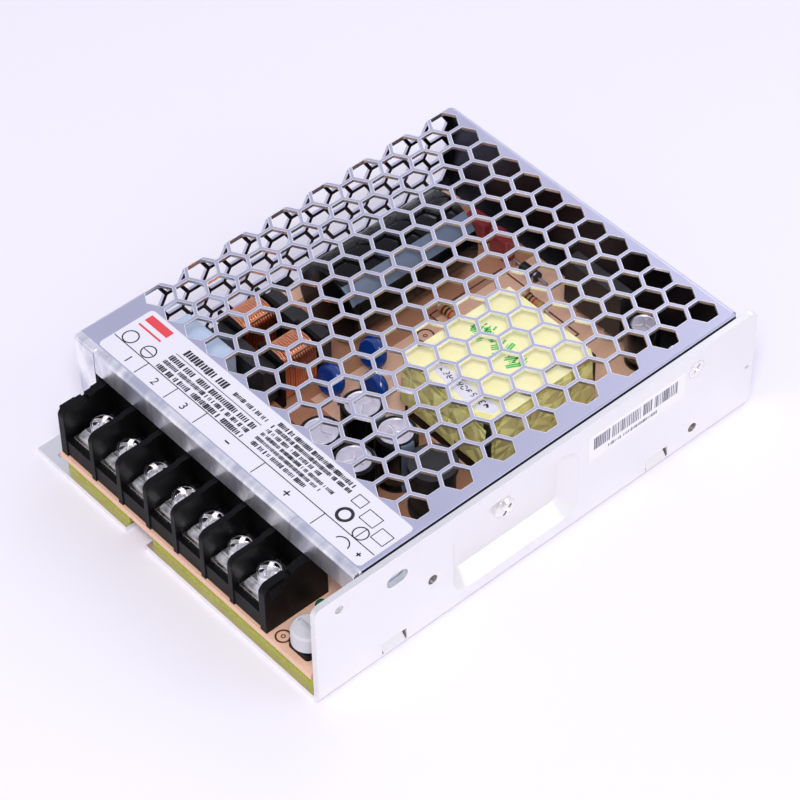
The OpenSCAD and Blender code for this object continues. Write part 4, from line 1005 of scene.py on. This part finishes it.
def crumpledSkin(name, low, high):
    random.seed(tapeWrap["seed"])
    shape = bmesh.new()
    outline = roundedOutline(low, high, tapeWrap["cornerRadius"])
    around = walkOutline(outline, tapeWrap["facet"])
    count = len(around)
    loops = []
    for row in range(tapeWrap["rows"] + 1):
        share = row / tapeWrap["rows"]
        loop = []
        for k, (at, outward) in enumerate(around):
            push = lift = slide = 0
            if 0 < row < tapeWrap["rows"]:
                push = -random.random() * tapeWrap["crumple"]
                lift = random.uniform(-tapeWrap["drift"], tapeWrap["drift"]) / tapeWrap["rows"]
                slide = random.uniform(-tapeWrap["drift"], tapeWrap["drift"]) * tapeWrap["facet"]
            elif row:   # the top edge, drawn in under the pale layer
                push = -tapeWrap["topInset"]
                lift = -tapeWrap["underTop"] / (high.z - low.z)
            along = (around[(k + 1) % count][0] - at).normalized()
            place = at + outward * push + along * slide * tapeWrap["slip"]
            loop.append(shape.verts.new((place.x, place.y,
                                         low.z + (high.z - low.z) * (share + lift))))
        loops.append(loop)
    for a, b in zip(loops, loops[1:]):
        for i in range(count):
            j = (i + 1) % count
            if random.random() < 0.5:
                shape.faces.new((a[i], a[j], b[j]))
                shape.faces.new((a[i], b[j], b[i]))
            else:
                shape.faces.new((a[i], a[j], b[i]))
                shape.faces.new((a[j], b[j], b[i]))
    innerLow = [shape.verts.new(Vector((at.x, at.y, low.z))
                                - Vector((outward.x, outward.y, 0)) * tapeWrap["shell"])
                for at, outward in around]
    innerHigh = [shape.verts.new((v.co.x, v.co.y, high.z - tapeWrap["shell"]))
                 for v in innerLow]
    for i in range(count):
        j = (i + 1) % count
        shape.faces.new((loops[0][j], loops[0][i], innerLow[i], innerLow[j]))
        shape.faces.new((innerLow[j], innerLow[i], innerHigh[i], innerHigh[j]))
    shape.faces.new(innerHigh)
    shape.faces.new(loops[-1])
    return closeMesh(name, shape)


wrapLow, wrapHigh = cornersOf("transformer_wrap")
skin = crumpledSkin("tapeSkin", wrapLow, wrapHigh)
skinPiece = keepPiece("transformerTape", skin, tapeYellow)
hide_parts("transformer_wrap")
print("transformer tape")


# Print on the labels: plain frame lines, rows of small ticks and a few generic marks

def tickTree(material):
    tree, sizes = startTree("printedTicks", {
        "Count": 20, "Pitch": 0.5, "Narrowest": 0.3, "Widest": 0.8, "Shortest": 0.6, "Tall": 1.0,
        "Thickness": 0.03, "Gaps": 0.15, "Seed": 1})
    step = addNode(tree, "ShaderNodeCombineXYZ", {"X": sizes["Pitch"]})
    row = addNode(tree, "GeometryNodeMeshLine", {
        "Count": sizes["Count"], "Offset": step.outputs[0]})
    dropped = addNode(tree, "FunctionNodeRandomValue", {
        "Probability": sizes["Gaps"], "Seed": sizes["Seed"]}, data_type="BOOLEAN")
    kept = addNode(tree, "GeometryNodeDeleteGeometry", {
        "Geometry": row.outputs[0], "Selection": dropped.outputs[3]}, domain="POINT")
    wide = addNode(tree, "FunctionNodeRandomValue", {
        "Min": sizes["Narrowest"], "Max": sizes["Widest"], "Seed": sizes["Seed"]})
    tall = addNode(tree, "FunctionNodeRandomValue", {
        "Min": sizes["Shortest"], "Max": sizes["Tall"], "Seed": sizes["Seed"]})
    width = addNode(tree, "ShaderNodeMath", {0: wide.outputs[1], 1: sizes["Pitch"]},
                    operation="MULTIPLY")
    size = addNode(tree, "ShaderNodeCombineXYZ", {
        "X": width.outputs[0], "Y": tall.outputs[1], "Z": sizes["Thickness"]})
    tick = addNode(tree, "GeometryNodeMeshCube", {"Size": (1, 1, 1)})
    ticks = addNode(tree, "GeometryNodeInstanceOnPoints", {
        "Points": kept.outputs[0], "Instance": tick.outputs[0], "Scale": size.outputs[0]})
    endTree(tree, ticks.outputs[0], material)
    return tree


labelPrint = {   # millimetres in the shared frame; each row is x start, x end, y middle, height
    "thickness": 0.03, "sunk": 0.01, "line": 0.22, "frameLine": 0.2, "edge": 0.3,
    "pitchShare": 0.42, "shortShare": 0.8, "tallShare": 1.1,
    "rows": [(-26.5, -12.1, -36.9, 2.0), (-10.0, 1.0, -37.0, 1.1), (-28.0, 1.0, -40.25, 1.5),
             (-28.0, 1.0, -42.05, 1.1), (-28.0, 1.0, -43.9, 1.35), (2.9, 27.8, -35.6, 1.15),
             (2.9, 28.5, -37.2, 1.0), (2.9, 20.5, -38.7, 1.0), (2.9, 26.5, -40.2, 0.9),
             (2.9, 24.0, -41.7, 0.9), (2.9, 21.0, -43.3, 1.1)],
    "cellLine": -45.0, "cellEnd": -49.5, "cells": [-29.8, -19.6, -9.6, 9.8, 29.2],
    "rings": [(-38.8, -42.9, 2.0, 0.3), (-32.5, -42.9, 1.9, 0.3), (32.2, -42.2, 2.1, 0.75),
              (38.4, -43.2, 1.9, 0.3)],
    "frames": [(36.8, -38.9, 4.2, 3.2), (42.2, -40.6, 3.6, 3.4), (31.6, -37.4, 3.0, 2.6)],
    "strokes": [   # both ends and a width: a rule, a minus, two plusses and two ring halves
        (-28, -38.75, 1, -38.75, 0.16), (-0.9, -47.3, 0.5, -47.3, 0.4),
        (18.6, -47.3, 20.4, -47.3, 0.34), (19.5, -48.2, 19.5, -46.4, 0.34),
        (41.8, -47.3, 43.0, -47.3, 0.34), (42.4, -47.9, 42.4, -46.7, 0.34),
        (38.4, -44.9, 38.4, -41.5, 0.2), (-34.0, -42.9, -31.0, -42.9, 0.24)],
    "redStrokes": [(-40.8, -36.3, -33.2, -36.3, 2.2), (-40.8, -39.0, -33.2, -39.0, 0.5)],
    "turnArc": {"centre": (37.6, -48.3), "outer": 2.2, "inner": 1.9, "start": 10, "span": 150},
    "digits": [("1", -34.6), ("2", -25.4), ("3", -15.4)], "digitFoot": -48.5, "digitSize": 3.0,
}
labelLow, labelHigh = cornersOf("rating_label")
inkLow, inkHigh = labelHigh.z - labelPrint["sunk"], labelHigh.z + labelPrint["thickness"]
inkMiddle = (inkLow + inkHigh) / 2
tickInk = tickTree(blackInk)
printed = []
for k, (x0, x1, y, tall) in enumerate(labelPrint["rows"]):
    pitch = labelPrint["pitchShare"] * tall
    printed.append(growMesh("row%d" % k, tickInk, {
        "Count": max(2, round((x1 - x0) / pitch)), "Pitch": pitch, "Narrowest": 0.45,
        "Widest": 0.95, "Shortest": tall * labelPrint["shortShare"],
        "Tall": tall * labelPrint["tallShare"],
        "Thickness": inkHigh - inkLow, "Gaps": 0.14, "Seed": 20 + k},
        Matrix.Translation((x0, y, inkMiddle))))


def addStroke(shape, x0, y0, x1, y1, width=labelPrint["line"]):   # a straight inked line
    start, end = Vector((x0, y0)), Vector((x1, y1))
    across = (end - start).normalized().orthogonal() * width / 2
    addPrism(shape, [tuple(start + across), tuple(start - across), tuple(end - across),
                     tuple(end + across)], inkLow, inkHigh)


shape = bmesh.new()
addStroke(shape, labelLow.x + labelPrint["edge"], labelPrint["cellLine"],
          labelHigh.x - labelPrint["edge"], labelPrint["cellLine"])
for x in labelPrint["cells"]:
    addStroke(shape, x, labelPrint["cellEnd"] + labelPrint["edge"], x, labelPrint["cellLine"])
for x, y, radius, stroke in labelPrint["rings"]:
    addRing(shape, (x, y), radius, radius - stroke, inkLow, inkHigh, steps=40)
for x, y, wide, tall in labelPrint["frames"]:
    for x0, y0, x1, y1 in ((-1, -1, 1, -1), (1, -1, 1, 1), (1, 1, -1, 1), (-1, 1, -1, -1)):
        addStroke(shape, x + x0 * wide / 2, y + y0 * tall / 2, x + x1 * wide / 2,
                  y + y1 * tall / 2, labelPrint["frameLine"])
for stroke in labelPrint["strokes"]:
    addStroke(shape, *stroke)
arc = labelPrint["turnArc"]   # a mark for the way the trimmer turns
addRing(shape, arc["centre"], arc["outer"], arc["inner"], inkLow, inkHigh, steps=24,
        arc=math.radians(arc["span"]), start=math.radians(arc["start"]))
lines = closeMesh("labelLines", shape)
lines.materials.append(blackInk)
printed.append(lines)


def digitMesh(text, x, y, size):   # plain numerals of the built-in font, as a thin solid
    curve = bpy.data.curves.new("digit" + text, "FONT")
    curve.body = text
    curve.size = size
    curve.extrude = (inkHigh - inkLow) / 2
    holder = bpy.data.objects.new("digitHolder", curve)
    scene.collection.objects.link(holder)
    mesh = bpy.data.meshes.new_from_object(
        holder.evaluated_get(bpy.context.evaluated_depsgraph_get()))
    bpy.data.objects.remove(holder)
    mesh.transform(Matrix.Diagonal((mm, mm, mm, 1)) @ Matrix.Translation((x, y, inkMiddle)))
    mesh.materials.clear()
    mesh.materials.append(blackInk)
    return mesh


for text, x in labelPrint["digits"]:
    printed.append(digitMesh(text, x, labelPrint["digitFoot"], labelPrint["digitSize"]))
keepJoined("labelPrint", printed, blackInk)

shape = bmesh.new()
for stroke in labelPrint["redStrokes"]:
    addStroke(shape, *stroke)
keepPiece("labelColourBar", closeMesh("labelColourBar", shape), redInk)
print("label print")


# Bars and ticks on the small label of the solid wall

barLabel = {"bars": 46, "start": 14.6, "pitch": 0.556, "barMiddle": 23.0, "barTall": 3.6,
            "tickMiddle": 19.6, "tickTall": 1.0, "ticks": 30, "tickStart": 19.0}
wallFace = cornersOf("barcode_label")[1].x
ontoWall = Matrix.Translation((wallFace + labelPrint["sunk"], 0, 0)) @ Matrix(
    ((0, 0, 1, 0), (1, 0, 0, 0), (0, 1, 0, 0), (0, 0, 0, 1)))
greyTicks = tickTree(greyInk)
barMeshes = [
    growMesh("bars", greyTicks, {
        "Count": barLabel["bars"], "Pitch": barLabel["pitch"], "Narrowest": 0.2, "Widest": 0.9,
        "Shortest": barLabel["barTall"], "Tall": barLabel["barTall"],
        "Thickness": labelPrint["thickness"], "Gaps": 0.06, "Seed": 5},
        ontoWall @ Matrix.Translation((barLabel["start"], barLabel["barMiddle"], 0))),
    growMesh("barTicks", greyTicks, {
        "Count": barLabel["ticks"], "Pitch": 0.5, "Narrowest": 0.3, "Widest": 0.8,
        "Shortest": 0.6, "Tall": barLabel["tickTall"], "Thickness": labelPrint["thickness"],
        "Gaps": 0.2, "Seed": 9},
        ontoWall @ Matrix.Translation((barLabel["tickStart"], barLabel["tickMiddle"], 0))),
]
keepJoined("wallLabelPrint", barMeshes, greyInk)
print("wall label print")


# Top of the transformer: a pale smooth layer with one corner cut, a sticker and stamp marks

topLayer = {
    "low": 0.3, "outline": [(2.75, -0.25), (23.5, -0.3), (29.2, 2.3), (31.25, 5.5), (31.25, 29.0),
                            (28.2, 32.25), (2.75, 32.25)],
    "sticker": [(10.2, 4.9), (28.9, 5.3), (29.1, 2.5), (24.5, 0.6), (10.4, 2.1)],
    "stickerThick": 0.06, "stickerSunk": 0.02,
}
penCurls = {   # they stand for a handwritten note
    "count": 11, "first": (11.6, 3.2), "step": 1.48, "wave": 0.12, "waveStep": 1.9,
    "offsets": (0.0, 0.55), "inner": 0.3, "radii": (0.42, 0.62), "arcs": (2.2, 4.6),
    "sunk": 0.01, "thick": 0.05,
}
stamp = {   # each group is x, y, count and height; each layer is a slant and a first seed
    "groups": ((6.6, 17.9, 9, 2.6), (12.6, 18.2, 9, 3.0), (18.6, 17.6, 8, 3.6),
               (8.0, 20.2, 5, 1.6)),
    "layers": ((0.25, 40), (-0.5, 60)), "pitch": 0.6, "shortShare": 0.3, "thick": 0.04,
    "lift": 0.01,
}
wrapTop = wrapHigh.z
shape = bmesh.new()
addPrism(shape, topLayer["outline"], wrapTop - topLayer["low"], wrapTop)
keepPiece("transformerTopLayer", closeMesh("transformerTopLayer", shape), tapePale)
stickerTop = wrapTop + topLayer["stickerThick"]
shape = bmesh.new()
addPrism(shape, topLayer["sticker"], wrapTop - topLayer["stickerSunk"], stickerTop)
keepPiece("transformerSticker", closeMesh("transformerSticker", shape), paleLabel)

markLow = stickerTop - penCurls["sunk"]
shape = bmesh.new()
for k in range(penCurls["count"]):
    x = penCurls["first"][0] + k * penCurls["step"]
    y = penCurls["first"][1] + penCurls["wave"] * math.sin(k * penCurls["waveStep"])
    for offset in penCurls["offsets"]:
        start = random.uniform(0, 2 * math.pi)
        radius = random.uniform(*penCurls["radii"])
        addRing(shape, (x + offset / 2, y + offset), radius, penCurls["inner"], markLow,
                markLow + penCurls["thick"], 12, random.uniform(*penCurls["arcs"]), start)
keepPiece("stickerMarks", closeMesh("stickerMarks", shape), blackInk)

inkGreen = tickTree(greenInk)
stampMeshes = []
for k, (x, y, count, tall) in enumerate(stamp["groups"]):
    for slant, firstSeed in stamp["layers"]:
        stampMeshes.append(growMesh("stamp%d" % k, inkGreen, {
            "Count": count, "Pitch": stamp["pitch"], "Narrowest": 0.3, "Widest": 0.85,
            "Shortest": tall * stamp["shortShare"], "Tall": tall, "Thickness": stamp["thick"],
            "Gaps": 0.25, "Seed": firstSeed + k},
            Matrix.Translation((x, y, wrapTop + stamp["lift"]))
            @ Matrix.Rotation(slant, 4, "Z")))
keepJoined("transformerStamp", stampMeshes, greenInk)


# Folded ends of the tape, lying on the front and right sides

tapeFlaps = {
    "thickness": 0.14, "lift": 0.02, "layer": 0.05, "sunk": 0.05,
    "front": [   # points along the side and up, then the lean away from it in degrees
        ([(0.5, 1.0), (9.0, 3.0), (13.5, 13.6), (1.0, 14.2)], 2.5),
        ([(8.0, 2.0), (19.5, 1.2), (14.0, 13.8)], 5.0),
        ([(15.0, 4.0), (27.5, 0.8), (28.2, 13.0), (17.0, 14.3)], 3.0),
        ([(12.5, 6.5), (15.8, 5.8), (18.6, 13.9), (11.4, 14.0)], 7.0),
    ],
    "right": [
        ([(1.0, 1.5), (13.0, 1.0), (11.0, 13.8), (2.0, 13.0)], 3.0),
        ([(10.0, 2.5), (22.0, 1.0), (24.5, 13.6), (13.5, 14.2)], 4.5),
        ([(21.0, 1.2), (31.5, 2.2), (30.5, 14.0), (26.0, 13.0)], 2.5),
    ],
}


def addFlaps(shape, flaps, place):
    for k, (corners, lean) in enumerate(flaps):
        bend = Matrix.Rotation(math.radians(-lean), 4, "X")
        hinge = max(z for _, z in corners)
        away = tapeFlaps["lift"] + tapeFlaps["layer"] * k
        seat = place @ Matrix.Translation((0, -away, hinge)) @ bend \
            @ Matrix.Translation((0, 0, -hinge))
        inner = [shape.verts.new(seat @ Vector((x, 0, z))) for x, z in corners]
        outer = [shape.verts.new(seat @ Vector((x, -tapeFlaps["thickness"], z)))
                 for x, z in corners]
        bridgeOutlines(shape, inner, outer)


shape = bmesh.new()
addFlaps(shape, tapeFlaps["front"], Matrix.Translation(
    (wrapLow.x, wrapLow.y + tapeFlaps["sunk"], wrapLow.z)))
addFlaps(shape, tapeFlaps["right"], Matrix.Translation(
    (wrapHigh.x - tapeFlaps["sunk"], wrapLow.y, wrapLow.z)) @ Matrix.Rotation(math.pi / 2, 4, "Z"))
keepPiece("transformerFlaps", closeMesh("transformerFlaps", shape), tapeYellow)
print("transformer top")


# Fine ribs moulded into the front of the film

filmRibs = {   # the notch is measured from the chassis's left side
    "pitch": 0.9, "width": 0.22, "depth": 0.1, "margin": 0.7, "shorter": 0.9,
    "notchMiddle": 35.5, "notchHalf": 4.2, "notchMargin": 0.6,
}


def ribTree(material):
    tree, sizes = startTree("filmRibs", {"Count": 10, "Pitch": 0.8, "Size": (0.2, 0.2, 3.0)})
    step = addNode(tree, "ShaderNodeCombineXYZ", {"X": sizes["Pitch"]})
    row = addNode(tree, "GeometryNodeMeshLine", {
        "Count": sizes["Count"], "Offset": step.outputs[0]})
    rib = addNode(tree, "GeometryNodeMeshCube", {"Size": sizes["Size"]})
    ribs = addNode(tree, "GeometryNodeInstanceOnPoints", {
        "Points": row.outputs[0], "Instance": rib.outputs[0]})
    endTree(tree, ribs.outputs[0], material)
    return tree


filmLow, filmHigh = cornersOf("insulating_film")
notchMiddle = cornersOf("chassis")[0].x + filmRibs["notchMiddle"]
notchReach = filmRibs["notchHalf"] + filmRibs["notchMargin"]
ribHeight = filmHigh.z - filmLow.z - filmRibs["shorter"]
filmMaterial = finishes["insulating_film"]
ribs = ribTree(filmMaterial)
ribMeshes = []
for x0, x1 in ((filmLow.x + filmRibs["margin"], notchMiddle - notchReach),
               (notchMiddle + notchReach, filmHigh.x - filmRibs["margin"])):
    count = int((x1 - x0) / filmRibs["pitch"]) + 1
    ribMeshes.append(growMesh("ribs", ribs, {
        "Count": count, "Pitch": filmRibs["pitch"],
        "Size": (filmRibs["width"], 2 * filmRibs["depth"], ribHeight)},
        Matrix.Translation((x0, filmLow.y, (filmLow.z + filmHigh.z) / 2))))
keepJoined("filmRibs", ribMeshes, filmMaterial)
print("film ribs")


# Terminals: pressed clamp plates with a bright front lip, and screws with a cross recess

terminal = {
    "plateHalf": 3.3, "headRadius": 2.85, "headHeight": 2.4, "crown": 0.8, "headSteps": 40,
    "slotWidth": 1.1, "slotLength": 4.4, "slotDepth": 1.9,
    "shankRadius": 1.7, "holeSlack": 0.15, "threadPitch": 0.7, "threadDepth": 0.22,
    "threadTurns": 6, "threadStart": 0.4, "headLift": 0.28, "neck": 0.3,
    "plate": [   # from the side, lip first: reach from the front or rear, rise from a face
        ("front", -0.6, "under", 0.02), ("front", -0.9, "under", 0.3),
        ("front", 0.55, "upper", 0), ("front", 0.9, "upper", -0.03),
        ("front", 1.15, "upper", 0.22), ("front", 1.5, "upper", -0.03),
        ("rear", -1.5, "upper", -0.03), ("rear", -1.2, "upper", 0.22),
        ("rear", -0.8, "upper", -0.03), ("rear", -0.15, "upper", -0.05),
        ("rear", 0, "upper", -0.25), ("rear", 0, "under", 0.02)],
    "head": [   # inset from the head's radius, level, rise from that level
        (0.15, "foot", 0), (0, "foot", 0.15), (0, "rim", -0.1), (0.12, "rim", 0.06),
        (0.45, "rim", 0.1), (0.6, "rim", 0.02), (1.1, "rim", 0.496), (2.0, "rim", 0.72)],
}


def clampPlate(centre, low, high):   # the side outline is swept across the plate
    edges = {"front": low.y, "rear": high.y, "under": low.z, "upper": high.z}
    outline = [(edges[end] + reach, edges[face] + rise)
               for end, reach, face, rise in terminal["plate"]]
    shape = bmesh.new()
    sides = [[shape.verts.new((centre.x + side * terminal["plateHalf"], y, z))
              for y, z in outline] for side in (-1, 1)]
    bridgeOutlines(shape, *sides)
    return closeMesh("clampPlate", shape)


def cutAway(mesh, cutters):   # an exact cut, baked to a plain mesh
    blank = bpy.data.objects.new("blank", mesh)
    scene.collection.objects.link(blank)
    tools = []
    for k, cutter in enumerate(cutters):
        tool = bpy.data.objects.new("tool%d" % k, cutter)
        scene.collection.objects.link(tool)
        modifier = blank.modifiers.new("cut%d" % k, "BOOLEAN")
        modifier.object = tool
        modifier.operation = "DIFFERENCE"
        tools.append(tool)
    result = bpy.data.meshes.new_from_object(
        blank.evaluated_get(bpy.context.evaluated_depsgraph_get()))
    for thing in [blank] + tools:
        bpy.data.objects.remove(thing)
    result.materials.clear()
    return result


def cylinderMesh(centre, radius, low, high, steps=40):
    shape = bmesh.new()
    spinProfile(shape, [(0, low, 0), (radius, low, 0), (radius, high, 0), (0, high, 0)],
                Matrix.Translation((centre.x, centre.y, 0)), steps)
    return closeMesh("cylinder", shape)


def screwHead(centre, low, angle):
    radius, rim = terminal["headRadius"], low + terminal["headHeight"]
    top = rim + terminal["crown"]
    levels = {"foot": low, "rim": rim}
    profile = [(0, low, 0)] + [(radius - inset, levels[level] + rise, 0)
                               for inset, level, rise in terminal["head"]] + [(0, top, 0)]
    shape = bmesh.new()
    middle = Matrix.Translation((centre.x, centre.y, 0))
    spinProfile(shape, profile, middle, terminal["headSteps"])
    cutters = []
    half, side = terminal["slotLength"] / 2, terminal["slotWidth"] / 2
    for turned in (0, math.pi / 2):
        cross = bmesh.new()
        addPrism(cross, [(-half, -side), (half, -side), (half, side), (-half, side)],
                 top - terminal["slotDepth"], top + 1)
        bmesh.ops.transform(cross, matrix=middle @ Matrix.Rotation(angle + turned, 4, "Z"),
                            verts=cross.verts)
        cutters.append(closeMesh("cross", cross))
    head = cutAway(closeMesh("head", shape), cutters)
    for face in head.polygons:
        face.material_index = int(face.center.z > rim * mm)
    return head


def threadTree(material):   # a helix of thread round a plain shank
    tree, sizes = startTree("screwThread", {
        "Turns": 6.0, "Pitch": 0.7, "Radius": 1.6, "Depth": 0.2})
    rise = addNode(tree, "ShaderNodeMath", {0: sizes["Turns"], 1: sizes["Pitch"]},
                   operation="MULTIPLY")
    helix = addNode(tree, "GeometryNodeCurveSpiral", {
        "Resolution": 20, "Rotations": sizes["Turns"], "Start Radius": sizes["Radius"],
        "End Radius": sizes["Radius"], "Height": rise.outputs[0]})
    section = addNode(tree, "GeometryNodeCurvePrimitiveCircle", {
        "Resolution": 4, "Radius": sizes["Depth"]})
    ridge = addNode(tree, "GeometryNodeCurveToMesh", {
        "Curve": helix.outputs[0], "Profile Curve": section.outputs[0], "Fill Caps": True})
    endTree(tree, ridge.outputs[0], material)
    return tree


thread = threadTree(chalkyZinc)
coreRadius = terminal["shankRadius"] - terminal["threadDepth"]
for k in range(1, 8):
    plateLow, plateHigh = cornersOf("clamp_washer_%d" % k)
    centre = (plateLow + plateHigh) / 2
    plate = cutAway(clampPlate(centre, plateLow, plateHigh), [
        cylinderMesh(centre, terminal["shankRadius"] + terminal["holeSlack"],
                     plateLow.z - 1, plateHigh.z + 1)])
    platePiece = keepPiece("clampPlate%d" % k, plate, chalkyZinc,
                           "clamp_%d" % k)
    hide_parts("clamp_washer_%d" % k)
    screwFoot = cornersOf("terminal_screw_%d" % k)[0].z
    headLow = plateHigh.z + terminal["headLift"]
    parts = [screwHead(centre, headLow, random.uniform(0, math.pi / 2)),
             cylinderMesh(centre, coreRadius, screwFoot, headLow + terminal["neck"]),
             growMesh("thread%d" % k, thread, {
                 "Turns": float(terminal["threadTurns"]), "Pitch": terminal["threadPitch"],
                 "Radius": coreRadius, "Depth": terminal["threadDepth"]},
                 Matrix.Translation((centre.x, centre.y,
                                     screwFoot + terminal["threadStart"])))]
    screwMesh = joinMeshes("terminalScrew%d" % k, parts, chalkyZinc)
    screwMesh.materials.append(nickelSteel)
    screwPiece = keepPiece("terminalScrew%d" % k, screwMesh, chalkyZinc,
                           "screw_%d" % k)
    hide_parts("terminal_screw_%d" % k)
print("terminals")


# Print on the board: rings and outlines round the parts, in brown ink

boardPrint = {
    "line": 0.42, "thick": 0.04, "gap": 0.005, "dot": (0.55, 0.3),
    "rings": [(34.3, -61.9, 1.85), (3.2, -33.5, 2.4), (-11.5, 19.5, 2.2), (-4.5, 36.5, 2.6),
              (20.5, -40.6, 2.5), (11.8, -42.8, 1.5), (36.9, 34.5, 2.2)],
    "outlines": [(-13.5, -31.5, 6.0, -20.5), (-16.0, 24.5, -6.0, 47.5), (0.5, 35.0, 12.0, 46.0),
                 (36.0, 26.5, 41.5, 41.0)],
}
shape = bmesh.new()
printLow, printHigh = boardTop + boardPrint["gap"], boardTop + boardPrint["thick"]
for x, y, radius in boardPrint["rings"]:
    addRing(shape, (x, y), radius, radius - boardPrint["line"], printLow, printHigh)
    addRing(shape, (x, y), boardPrint["dot"][0], boardPrint["dot"][1], printLow, printHigh, 20)
line = boardPrint["line"]
for x0, y0, x1, y1 in boardPrint["outlines"]:
    addBlock(shape, (x0, y0, printLow), (x1, y0 + line, printHigh))
    addBlock(shape, (x0, y1 - line, printLow), (x1, y1, printHigh))
    addBlock(shape, (x0, y0 + line, printLow), (x0 + line, y1 - line, printHigh))
    addBlock(shape, (x1 - line, y0 + line, printLow), (x1, y1 - line, printHigh))
keepPiece("boardPrint", closeMesh("boardPrint", shape), boardInk)
print("board print")


# A pale film behind the oval slot of the solid wall

slotFilm = {"low": (46.5, -46.0, 20.6), "high": (46.7, -38.2, 26.2), "corner": 1.0}
shape = bmesh.new()
addBlock(shape, slotFilm["low"], slotFilm["high"])
bmesh.ops.bevel(shape, geom=[edge for edge in shape.edges
                             if abs(edge.verts[0].co.x - edge.verts[1].co.x) > 0.1],
                offset=slotFilm["corner"], segments=4, affect="EDGES")
keepPiece("slotFilm", closeMesh("slotFilm", shape), paleSlotFilm)
print("slot film")


print("finished")
